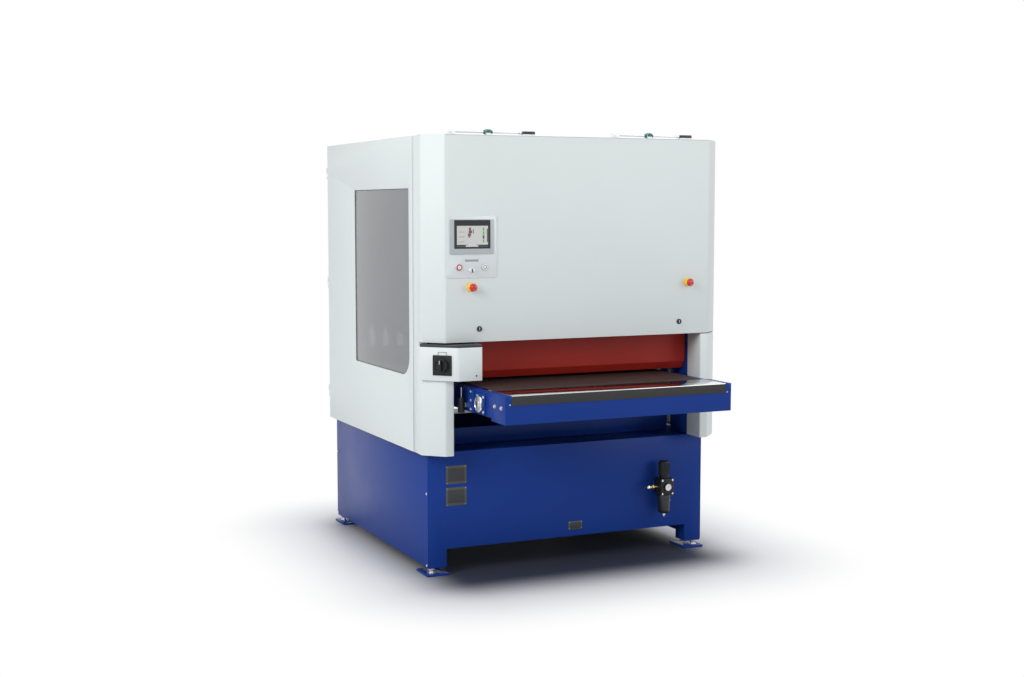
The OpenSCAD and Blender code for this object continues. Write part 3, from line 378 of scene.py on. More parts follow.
SAND = Grit("abrasive_cloth", (0.22, 0.085, 0.045), 0.85, grain=0.0009, relief=0.0002)
BRISTLE = Grit("abrasive_bristle", (0.3, 0.14, 0.05), 0.8, grain=0.0016, relief=0.0003)
TEAL = Finish("teal_bush", (0.01, 0.115, 0.105), 0.4)
SIGNAL_RED = Finish("signal_red_plastic", (0.56, 0.012, 0.01), 0.24, relief=0.00001)
SIGNAL_YELLOW = Finish("signal_yellow_plastic", (0.8, 0.52, 0.02), 0.3, relief=0.00001)
LIGHT = Finish("light_plastic", (0.68, 0.69, 0.69), 0.28, relief=0.00001)
BRASS = Finish("brass", (0.62, 0.46, 0.2), 0.26, 1.0, mottle=0.06, patch=0.02)
BOWL = Pane("bowl_plastic", (0.02, 0.022, 0.026), 0.18, alpha=0.93, relief=0.00001)
PANE = Pane("tinted_pane", (0.255, 0.268, 0.272), 0.06, alpha=0.8, relief=0.000002, mottle=0.02)
PLATE = Finish("anodised_plate", (0.085, 0.084, 0.076), 0.42, 0.2, mottle=0.06, patch=0.06,
    specular=0.25)
GLASS_BLACK = Finish("panel_glass", (0.012, 0.013, 0.015), 0.1, relief=0.000001)
PICTURE = Glow("panel_picture", (0.52, 0.52, 0.5), 0.3, strength=0.12, relief=0.000001)
PICTURE_DARK = Glow("panel_dark", (0.04, 0.045, 0.05), 0.3, strength=0.1, relief=0.000001)
PICTURE_GREEN = Glow("panel_green", (0.05, 0.3, 0.06), 0.3, strength=0.5, relief=0.000001)
PICTURE_BROWN = Glow("panel_sketch", (0.16, 0.05, 0.05), 0.3, strength=0.1, relief=0.000001)
PICTURE_LIGHT = Glow("panel_tab", (0.5, 0.52, 0.52), 0.3, strength=0.15, relief=0.000001)
BLUE_CAP = Finish("blue_cap", (0.02, 0.2, 0.55), 0.3, relief=0.00001)


# Modelling bench


def rectangle(low: Flat, high: Flat) -> list[Flat]:
    """Return the corners of a rectangle, in order."""
    return [low, (high[0], low[1]), high, (low[0], high[1])]


def arc(centre: Flat, radius: float, start: float, steps: int) -> list[Flat]:
    """Return the points inside a quarter circle that begins at an angle."""
    angles = [start + math.pi / 2 * k / steps for k in range(1, steps)]
    return [(centre[0] + radius * math.cos(a), centre[1] + radius * math.sin(a)) for a in angles]


class Bench:
    """Modelling steps of the workshop: each one drives the modelling operators."""

    @staticmethod
    def clear() -> None:
        """Leave edit mode and select nothing."""
        if bpy.context.object and bpy.context.object.mode != "OBJECT":
            bpy.ops.object.mode_set(mode="OBJECT")
        bpy.ops.object.select_all(action="DESELECT")

    @staticmethod
    def pick(*pieces: Piece) -> None:
        """Select these pieces alone, the first of them active.

        Args:
            *pieces: the pieces.
        """
        Bench.clear()
        for piece in pieces:
            piece.select_set(True)
        bpy.context.view_layer.objects.active = pieces[0]

    @staticmethod
    def edit(piece: Piece, mode: str = "VERT") -> None:
        """Open the piece in edit mode with nothing selected.

        Args:
            piece: the piece.
            mode: what is selected next: VERT, EDGE or FACE.
        """
        Bench.pick(piece)
        bpy.ops.object.mode_set(mode="EDIT")
        bpy.ops.mesh.select_mode(type=mode)
        bpy.ops.mesh.select_all(action="DESELECT")

    @staticmethod
    def settle(piece: Piece, name: str) -> Piece:
        """Name the piece and put its place, turn and scale into its mesh.

        Args:
            piece: the piece.
            name: its name.

        Returns:
            The piece.
        """
        Bench.pick(piece)
        bpy.ops.object.transform_apply(location=True, rotation=True, scale=True)
        piece.name = name
        piece.data.name = name
        return piece

    @staticmethod
    def apply(piece: Piece, kind: str, **values: object) -> None:
        """Add a modifier with these values and apply it.

        Args:
            piece: the piece.
            kind: the modifier's type.
            **values: its settings.
        """
        Bench.pick(piece)
        modifier = piece.modifiers.new(kind.title(), kind)
        for key, value in values.items():
            setattr(modifier, key, value)
        bpy.ops.object.modifier_apply(modifier=modifier.name)

    @staticmethod
    def ease(piece: Piece, width: float, segments: int = 2, angle: float = 38.0) -> None:
        """Round the sharp edges of a piece and shade it.

        Args:
            piece: the piece.
            width: the width of the rounding.
            segments: its facets.
            angle: edges sharper than this angle are rounded.
        """
        if width > 0:
            Bench.apply(piece, "BEVEL", width=width, segments=segments, limit_method="ANGLE",
                angle_limit=math.radians(angle), use_clamp_overlap=False)
        Bench.smooth(piece)

    @staticmethod
    def smooth(piece: Piece, angle: float = 32.0) -> None:
        """Shade a piece smooth up to an angle."""
        Bench.pick(piece)
        bpy.ops.object.shade_smooth_by_angle(angle=math.radians(angle))

    @staticmethod
    def block(name: str, low: Point, high: Point, edge: float = 0.001, segments: int = 2) -> Piece:
        """Model a block between two corners, with eased edges.

        Args:
            name: the piece's name.
            low: its lowest corner.
            high: its highest corner.
            edge: the width of the rounding.
            segments: its facets.

        Returns:
            The new piece.
        """
        middle = [(a + b) / 2 for a, b in zip(low, high)]
        Bench.clear()
        bpy.ops.mesh.primitive_cube_add(size=1, location=middle)
        piece = bpy.context.object
        piece.scale = [abs(b - a) for a, b in zip(low, high)]
        Bench.settle(piece, name)
        Bench.ease(piece, edge, segments)
        return piece

    @staticmethod
    def rod(name: str, start: Point, axis: Axis, length: float, radius: float, edge: float = 0.0006,
            sides: int = 48) -> Piece:
        """Model a round or many-sided bar with eased rims.

        Args:
            name: the piece's name.
            start: the centre of its first end.
            axis: the direction that it runs in.
            length: its length, negative to run backwards.
            radius: its radius.
            edge: the width of the rims' rounding.
            sides: its number of sides.

        Returns:
            The new piece.
        """
        turn = {Axis.X: (0, math.pi / 2, 0), Axis.Y: (math.pi / 2, 0, 0), Axis.Z: (0, 0, 0)}[axis]
        step = axis.step(length / 2)
        Bench.clear()
        bpy.ops.mesh.primitive_cylinder_add(vertices=sides, radius=radius, depth=abs(length),
            location=Vector(start) + step, rotation=turn)
        piece = Bench.settle(bpy.context.object, name)
        Bench.ease(piece, edge, 2)
        return piece

    @staticmethod
    def chain(name: str, points: list[Point]) -> Piece:
        """Draw a line of edges by extruding one vertex from point to point.

        Args:
            name: the piece's name.
            points: the points of the line.

        Returns:
            The piece, a line of edges in object mode.
        """
        Bench.clear()
        bpy.ops.mesh.primitive_plane_add(size=0.001, location=points[0])
        piece = bpy.context.object
        Bench.settle(piece, name)
        Bench.edit(piece)
        bpy.ops.mesh.select_all(action="SELECT")
        bpy.ops.mesh.merge(type="CENTER")
        for here, there in zip(points, points[1:]):
            bpy.ops.mesh.extrude_vertices_move(TRANSFORM_OT_translate={
                "value": Vector(there) - Vector(here)})
        bpy.ops.object.mode_set(mode="OBJECT")
        return piece

    @staticmethod
    def fold(name: str, path: list[Flat], bends: list[float], low: float, high: float,
            thickness: float, edge: float = 0.0007) -> Piece:
        """Fold a sheet along a path in plan. Its thickness lies to the left of the path.

        Args:
            name: the piece's name.
            path: the outer line of the sheet, in X and Y.
            bends: the bend radius at each inner point of the path.
            low: the height of its lower edge.
            high: the height of its upper edge.
            thickness: the sheet's thickness.
            edge: the rounding of the sheet's edges.

        Returns:
            The new piece.
        """
        piece = Bench.chain(name, [(x, y, low) for x, y in path])
        Bench.edit(piece)
        bpy.ops.mesh.select_all(action="SELECT")
        bpy.ops.mesh.extrude_edges_move(TRANSFORM_OT_translate={"value": (0, 0, high - low)})
        for i, radius in enumerate(bends, start=1):
            if radius <= 0:
                continue
            a, b, c = (Vector(path[k]) for k in (i - 1, i, i + 1))
            swing = (b - a).angle(c - b)
            mesh = bmesh.from_edit_mesh(piece.data)
            bpy.ops.mesh.select_mode(type="EDGE")
            bpy.ops.mesh.select_all(action="DESELECT")
            for line in mesh.edges:
                line.select = all((v.co.xy - b).length < 1e-5 for v in line.verts)
            bmesh.update_edit_mesh(piece.data)
            bpy.ops.mesh.bevel(offset=radius * math.tan(swing / 2), segments=7, affect="EDGES",
                clamp_overlap=False)
        along = Vector(path[1]) - Vector(path[0])
        outward = Vector((along.y, -along.x, 0))
        bpy.ops.mesh.select_mode(type="FACE")
        bpy.ops.mesh.select_all(action="SELECT")
        bpy.ops.mesh.normals_make_consistent(inside=False)
        mesh = bmesh.from_edit_mesh(piece.data)
        face = min(mesh.faces, key=lambda f: (f.calc_center_median().xy - Vector(path[0])).length)
        if face.normal.dot(outward) < 0:
            bpy.ops.mesh.flip_normals()
        bpy.ops.object.mode_set(mode="OBJECT")
        Bench.apply(piece, "SOLIDIFY", thickness=thickness, offset=-1.0, use_even_offset=True)
        Bench.ease(piece, edge, 2, 50)
        return piece

    @staticmethod
    def slab(name: str, outline: list[Flat], axis: Axis, start: float, depth: float,
            edge: float = 0.001, corner: float = 0.0, segments: int = 2) -> Piece:
        """Extrude a closed outline along an axis.

        Args:
            name: the piece's name.
            outline: its corners on the two other axes, in order.
            axis: the direction of the extrusion.
            start: where the first face lies on that axis.
            depth: the length of the extrusion, negative to run backwards.
            edge: the rounding of its rims.
            corner: the radius of its corners.
            segments: the facets of the rims' rounding.

        Returns:
            The new piece.
        """
        def place(p: Flat) -> Point:
            """Put a flat point on the first face."""
            return {Axis.X: (start, p[0], p[1]), Axis.Y: (p[0], start, p[1]),
                Axis.Z: (p[0], p[1], start)}[axis]

        piece = Bench.chain(name, [place(p) for p in outline])
        Bench.edit(piece)
        bpy.ops.mesh.select_all(action="SELECT")
        bpy.ops.mesh.edge_face_add()
        if corner > 0:
            bpy.ops.mesh.bevel(offset=corner, segments=8, affect="VERTICES")
            bpy.ops.mesh.select_all(action="SELECT")
        step = axis.step(depth)
        bpy.ops.mesh.extrude_region_move(TRANSFORM_OT_translate={"value": step})
        bpy.ops.mesh.select_all(action="SELECT")
        bpy.ops.mesh.normals_make_consistent(inside=False)
        bpy.ops.object.mode_set(mode="OBJECT")
        Bench.ease(piece, edge, segments)
        return piece

    @staticmethod
    def turn(name: str, centre: Point, axis: Axis, profile: list[Flat], sides: int = 48,
            edge: float = 0.0, flip: bool = False) -> Piece:
        """Turn a profile round an axis, as on a lathe.

        Args:
            name: the piece's name.
            centre: the point on the axis where the profile's height is zero.
            axis: the lathe's axis.
            profile: radius and height of each point of the profile.
            sides: the number of facets round the axis.
            edge: the rounding of its rims.
            flip: whether the profile's height runs against the axis.

        Returns:
            The new piece.
        """
        piece = Bench.chain(name, [(r, 0, h) for r, h in profile])
        Bench.edit(piece)
        bpy.ops.mesh.select_all(action="SELECT")
        bpy.ops.mesh.spin(steps=sides, angle=math.tau, center=(0, 0, 0), axis=(0, 0, 1))
        bpy.ops.mesh.select_all(action="SELECT")
        bpy.ops.mesh.remove_doubles(threshold=1e-6)
        bpy.ops.mesh.normals_make_consistent(inside=False)
        bpy.ops.object.mode_set(mode="OBJECT")
        turns = {Axis.X: (0, math.pi / 2, 0), Axis.Y: (-math.pi / 2, 0, 0), Axis.Z: (0, 0, 0)}
        back = {Axis.X: (0, -math.pi / 2, 0), Axis.Y: (math.pi / 2, 0, 0), Axis.Z: (math.pi, 0, 0)}
        piece.rotation_euler = (back if flip else turns)[axis]
        piece.location = centre
        Bench.settle(piece, name)
        Bench.ease(piece, edge, 2)
        return piece

    @staticmethod
    def tube(name: str, points: list[Point], radius: float) -> Piece:
        """Bend a round bar or a fixed pipe along a smooth line.

        Args:
            name: the piece's name.
            points: the points that it runs through.
            radius: its radius.

        Returns:
            The new piece, a closed mesh.
        """
        line = Bench.curve(name, radius, 4)
        line.use_fill_caps = True
        line.resolution_u = 8
        spline = line.splines.new("BEZIER")
        spline.bezier_points.add(len(points) - 1)
        for knot, point in zip(spline.bezier_points, points):
            knot.co = point
            knot.handle_left_type = knot.handle_right_type = "AUTO"
        return Bench.solid(name, line)

    @staticmethod
    def curve(name: str, radius: float, facets: int) -> bpy.types.Curve:
        """Start a round line of that radius.

        Args:
            name: the line's name.
            radius: its radius.
            facets: the fineness of its section.

        Returns:
            The line, still without points.
        """
        Bench.clear()
        line = bpy.data.curves.new(name, "CURVE")
        line.dimensions = "3D"
        line.bevel_depth = radius
        line.bevel_resolution = facets
        return line

    @staticmethod
    def solid(name: str, line: bpy.types.Curve) -> Piece:
        """Turn a round line into a mesh.

        Args:
            name: the new piece's name.
            line: the line.

        Returns:
            The new piece.
        """
        piece = bpy.data.objects.new(name, line)
        bpy.context.scene.collection.objects.link(piece)
        Bench.pick(piece)
        bpy.ops.object.convert(target="MESH")
        Bench.smooth(bpy.context.object, 60)
        return bpy.context.object

    @staticmethod
    def cut(piece: Piece, cutter: Piece) -> None:
        """Cut one piece out of another and remove it."""
        Bench.apply(piece, "BOOLEAN", operation="DIFFERENCE", object=cutter, solver="EXACT")
        bpy.data.objects.remove(cutter)

    @staticmethod
    def join(name: str, pieces: list[Piece]) -> Piece:
        """Join pieces into one, each keeping its own material.

        Args:
            name: the new piece's name.
            pieces: the pieces.

        Returns:
            The joined piece.
        """
        Bench.pick(*pieces)
        if len(pieces) > 1:
            bpy.ops.object.join()
        piece = bpy.context.object
        piece.name = name
        piece.data.name = name
        return piece

    @staticmethod
    def turn_about(piece: Piece, pivot: Point, angle: float, axis: Axis) -> None:
        """Turn a finished piece about a point, its place staying in its mesh.

        Args:
            piece: the piece.
            pivot: the point.
            angle: the turn in radians.
            axis: its axis.
        """
        spin = Matrix.Rotation(angle, 4, axis.value)
        shift = Matrix.Translation(Vector(pivot))
        piece.matrix_world = shift @ spin @ shift.inverted()
        Bench.settle(piece, piece.name)

    @staticmethod
    def bolt(name: str, foot: Point, axis: Axis, out: float, head: float, height: float,
            hexagon: bool = False) -> Piece:
        """Model a bolt head with its washer, standing on a face.

        Args:
            name: the piece's name.
            foot: the point on the face.
            axis: the direction of the bolt.
            out: plus or minus one, the way it stands out.
            head: the head's radius.
            height: how far it stands out.
            hexagon: a hexagon head, or else a socket head.

        Returns:
            The new piece.
        """
        washer = Bench.rod(name + "_washer", foot, axis, out * height * 0.25, head * 1.15, 0.0004,
            32)
        start = Vector(foot) + axis.step(out * height * 0.25)
        cap = Bench.rod(name + "_cap", start, axis, out * height * 0.75, head * 0.92, height * 0.12,
            6 if hexagon else 32)
        if not hexagon:
            Bench.edit(cap, "FACE")
            mesh = bmesh.from_edit_mesh(cap.data)
            far = max(mesh.faces, key=lambda f: f.calc_center_median()[
                list(Axis).index(axis)] * out + f.calc_area() * 10)
            far.select = True
            bmesh.update_edit_mesh(cap.data)
            bpy.ops.mesh.inset(thickness=head * 0.4)
            step = axis.step(-out * height * 0.35)
            bpy.ops.mesh.extrude_region_move(TRANSFORM_OT_translate={"value": step})
            bpy.ops.object.mode_set(mode="OBJECT")
        return Bench.join(name, [washer, cap])


@dataclass
class Workshop:
    """A sub-assembly of the machine, which puts its finished pieces on the frame.

    It holds the loaded frame, and the names of the pieces made so far by all sub-assemblies.
    """

    frame: dict
    made: list[str]

    def fit(self, piece: Piece, body: Body, slot: str, finish: Finish | None = None,
            *replaces: str) -> None:
        """Put a piece on its body.

        Args:
            piece: the finished piece.
            body: the body that it moves with.
            slot: the record's material slot; not used.
            finish: its finish, or None where its parts have their own.
            *replaces: the nodes that it stands for.
        """
        if finish is not None:
            finish.on(piece)
        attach(piece, body.value)
        if replaces:
            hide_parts(*replaces)
        self.made.append(piece.name)
        LOG.info("piece %s on %s", piece.name, body.value)

    def assemble(self, name: str, parts: list[Piece], *rest: object) -> None:
        """Join parts into one piece and fit it."""
        self.fit(Bench.join(name, parts), *rest)

    def refine(self, node: str, finish: Finish, edge: float = 0.0008, angle: float = 40.0) -> Piece:
        """Copy a node's shape, merge its facets, round its edges and let the copy stand for it.

        Args:
            node: the node's name.
            finish: the copy's finish.
            edge: the rounding of its edges.
            angle: edges sharper than this angle are rounded.

        Returns:
            The new piece.
        """
        source = self.frame["nodes"][node]
        piece = source.copy()
        piece.data = source.data.copy()
        for key in list(piece.keys()):
            if key.startswith("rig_"):
                del piece[key]
        piece.parent = None
        piece.matrix_world = Matrix.Identity(4)
        bpy.context.scene.collection.objects.link(piece)
        piece.name = piece.data.name = node + "_dressed"
        Bench.edit(piece)
        bpy.ops.mesh.select_all(action="SELECT")
        bpy.ops.mesh.remove_doubles(threshold=1e-5)
        bpy.ops.mesh.dissolve_limited(angle_limit=math.radians(0.8))
        bpy.ops.object.mode_set(mode="OBJECT")
        Bench.ease(piece, edge, 2, angle)
        finish.on(piece)
        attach(piece, source["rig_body"])
        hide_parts(node)
        self.made.append(piece.name)
        return piece


# Sub-assemblies


@dataclass
class Base(Workshop):
    """The blue base on its feet."""

    front: float = -0.667
    back: float = 0.667
    half: float = 0.729
    foot_low: float = 0.628
    foot_high: float = 0.738
    foot_near: float = 0.537
    foot_far: float = 0.682
    bolt: Flat = (0.702, 0.639)
    anchor: Flat = (0.683, 0.557)

    def build(self) -> None:
        """Dress the base, its covers, screws and feet."""
        self.refine("base_frame", BLUE, 0.0015)
        self.refine("base_end_panels", BLUE, 0.0012)
        self.refine("base_side_covers", BLUE, 0.001)
        self.screws()
        self.feet()

    def screws(self) -> None:
        """Put socket screws with washers in the corners of the side covers."""
        heads = []
        for side in SIDES:
            for y in (self.front + 0.014, self.back - 0.014):
                for z in (0.048, 0.382):
                    heads.append(Bench.bolt("cover_screw", (side * self.half, y, z), Axis.X, side,
                        0.0055, 0.003))
        self.assemble("cover_screw_heads", heads, Body.FRAME, "zinc_plate", ZINC, "cover_screws")

    def feet(self) -> None:
        """Model the foot plates with their anchor holes, levelling bolts and nuts."""
        plates, bolts = [], []
        for sx, sy in CORNERS:
            xs = sorted((sx * self.foot_low, sx * self.foot_high))
            ys = sorted((sy * self.foot_near, sy * self.foot_far))
            plate = Bench.slab("foot_plate", rectangle((xs[0], ys[0]), (xs[1], ys[1])), Axis.Z, 0.0,
                0.01, 0.0009, 0.006)
            cutter = Bench.rod("anchor_cut", (sx * self.anchor[0], sy * self.anchor[1], -0.01),
                Axis.Z, 0.03, 0.009, 0, 32)
            Bench.cut(plate, cutter)
            plates.append(plate)
            spot = (sx * self.bolt[0], sy * self.bolt[1])
            bolts.append(Bench.turn("level_bolt", (*spot, 0.01), Axis.Z,
                [(0, 0), (0.01, 0), (0.01, 0.047), (0.0085, 0.05), (0, 0.05)], 32))
            bolts.append(Bench.rod("level_nut", (*spot, 0.022), Axis.Z, 0.012, 0.017, 0.0012, 6))
            bolts.append(Bench.rod("level_washer", (*spot, 0.01), Axis.Z, 0.002, 0.018, 0.0005))
        self.assemble("foot_plates", plates, Body.FRAME, "blue_paint", BLUE, "levelling_feet")
        self.assemble("levelling_bolts", bolts, Body.FRAME, "zinc_plate", ZINC)


@dataclass
class Portal(Workshop):
    """The blue portal behind the cladding, and the white covers in front of it."""

    sheet: float = 0.003
    half: float = 0.77
    face: float = 0.687
    inner: float = 0.645
    front: float = -0.785
    corner: float = -0.702
    column: float = -0.667
    hood_back: float = -0.657
    low: float = 0.571
    high_left: float = 1.065
    high_right: float = 1.079
    roof: float = 2.006

    def build(self) -> None:
        """Dress the portal and fold the post covers."""
        self.refine("portal_frame", BLUE, 0.002)
        self.covers()

    def covers(self) -> None:
        """Fold each post cover with its bent-in foot, and the recessed strip behind it."""
        for side, high in ((-1, self.high_left), (1, self.high_right)):
            path = [(side * self.inner, self.column), (side * self.inner, self.front),
                (side * self.face, self.front), (side * self.half, self.corner),
                (side * self.half, self.hood_back), (side * 0.761, self.hood_back)]
            if side < 0:
                path = path[::-1]
                bends = [0.004, 0.01, 0.014, 0.006]
            else:
                bends = [0.006, 0.014, 0.01, 0.004]
            cover = Bench.fold("post_cover", path, bends, self.low, high, self.sheet)
            foot = [(side * 0.648, self.column), (side * 0.648, -0.7822), (side * 0.6858, -0.7822),
                (side * 0.767, -0.701), (side * 0.767, self.column)]
            closing = Bench.slab("post_foot", foot, Axis.Z, self.low + 0.0006, 0.0024, 0.0006)
            strip_path = [(side * 0.729, -0.663), (side * 0.764, -0.663), (side * 0.764, -0.598)]
            if side > 0:
                strip_path = strip_path[::-1]
            strip = Bench.fold("post_strip", strip_path, [0.003], self.low, self.roof, self.sheet)
            name, nodes = (("post_cover_left", ["post_covers"]) if side < 0 else (
                "post_cover_right", []))
            piece = Bench.join(name, [cover, closing, strip])
            self.fit(piece, Body.FRAME, "white_paint", WHITE, *nodes)


@dataclass
class SwitchBox(Workshop):
    """The main switch box that wraps the left post."""

    left: float = -0.77
    chamfer: float = -0.702
    inner: float = -0.645
    turned: float = -math.pi / 4
    step: float = 0.01202
    low: float = 0.915
    high: float = 1.065
    lip: float = 0.012
    sheet: float = 0.003
    front: float = -0.845
    right: float = -0.532
    back: float = -0.675
    bend: float = -0.65104
    centre: Point = (-0.70424, -0.7918, 0.985)

    def build(self) -> None:
        """Fold the box and fit its lip, plate and knob."""
        self.shell()
        self.switch()

    def shell(self) -> None:
        """Fold the shell, close it below and lay the dark lip on it."""
        path = [(self.left, self.chamfer), (self.left - self.step, self.chamfer - self.step),
            (self.bend, self.front), (self.right, self.front), (self.right, self.back),
            (self.inner, self.back)]
        wall = Bench.fold("box_wall", path, [0.0025, 0.026, 0.005, 0.004], self.low, self.high,
            self.sheet)
        floor_line = [(-0.7725, -0.7045), (-0.7795, -0.714), (-0.66, -0.8335), (-0.65, -0.8405),
            (-0.636, -0.8425), (-0.5345, -0.8425), (-0.5345, -0.677), (-0.646, -0.677),
            (-0.646, -0.786), (-0.6874, -0.786)]
        under = Bench.slab("box_floor", floor_line, Axis.Z, self.low + 0.0004, 0.0026, 0.0005)
        box = Bench.join("switch_box_shell", [wall, under])
        self.fit(box, Body.FRAME, "white_paint", WHITE, "switch_box")
        lip_line = [(-0.7705, -0.7025), (-0.78, -0.71), (-0.7818, -0.715), (-0.668, -0.8285),
            (-0.656, -0.84), (-0.638, -0.845), (self.right - 0.004, self.front),
            (self.right, self.front + 0.004), (self.right, self.back), (self.inner, self.back),
            (self.inner, -0.785), (-0.687, -0.785)]
        lip = Bench.slab("switch_box_lip_cap", lip_line, Axis.Z, self.high, self.lip, 0.0012)
        self.fit(lip, Body.FRAME, "dark_trim", LIP, "switch_box_lip")
        screw = Bench.bolt("box_screw", (self.right - 0.03, self.front, self.low + 0.022), Axis.Y,
            -1, 0.0035, 0.002)
        self.fit(screw, Body.FRAME, "black_plastic", BLACK)

    def switch(self) -> None:
        """Model the square escutcheon with its raised ring, padlock tab and turning handle."""
        x, y, z = self.centre
        half = 0.0455
        plate = Bench.slab("switch_plate", rectangle((x - half, z - half), (x + half, z + half)),
            Axis.Y, y, -0.0055, 0.0012, 0.004, 3)
        ring = Bench.turn("switch_ring", (x, y - 0.0054, z), Axis.Y,
            [(0.034, 0), (0.034, 0.0006), (0.0395, 0.0006), (0.0395, 0)], 64, flip=True)
        corners = []
        for sx, sz in CORNERS:
            corners.append(Bench.bolt("plate_screw", (x + sx * 0.038, y - 0.005, z + sz * 0.038),
                Axis.Y, -1, 0.003, 0.001))
        body = Bench.join("main_switch_escutcheon", [plate, ring, *corners])
        Bench.turn_about(body, self.centre, self.turned, Axis.Z)
        self.fit(body, Body.FRAME, "black_plastic", BLACK, "main_switch_plate")
        tab = Bench.slab("lock_outline", rectangle((x - 0.021, z + 0.046), (x + 0.021, z + 0.06)),
            Axis.Y, y - 0.0004, -0.001, 0.0003)
        hole = Bench.block("tab_cut", (x - 0.0195, y - 0.003, z + 0.044),
            (x + 0.0195, y + 0.003, z + 0.0585), 0)
        Bench.cut(tab, hole)
        Bench.turn_about(tab, self.centre, self.turned, Axis.Z)
        self.fit(tab, Body.FRAME, "dark_trim", LIP)
        dish = Bench.turn("switch_dish", (x, y - 0.0063, z), Axis.Y,
            [(0, 0), (0.0308, 0), (0.031, 0.002), (0.031, 0.017), (0.0298, 0.0198), (0.0265, 0.02),
            (0.0245, 0.0165), (0.023, 0.016), (0, 0.016)], 64, flip=True)
        grip = Bench.slab("switch_grip", [(x - 0.0085, z - 0.0255), (x + 0.0085, z - 0.0255),
            (x + 0.0055, z + 0.0265), (x - 0.0055, z + 0.0265)], Axis.Y, y - 0.0215, -0.015, 0.0022,
            0.003, 3)
        mark = Bench.block("switch_mark", (x - 0.001, y - 0.037, z + 0.008),
            (x + 0.001, y - 0.036, z + 0.024), 0.0002)
        handle = Bench.join("main_switch_handle", [BLACK.on(dish), BLACK.on(grip), LIGHT.on(mark)])
        Bench.turn_about(handle, self.centre, self.turned, Axis.Z)
        self.fit(handle, Body.MAIN_SWITCH, "black_plastic", None, "main_switch_knob")


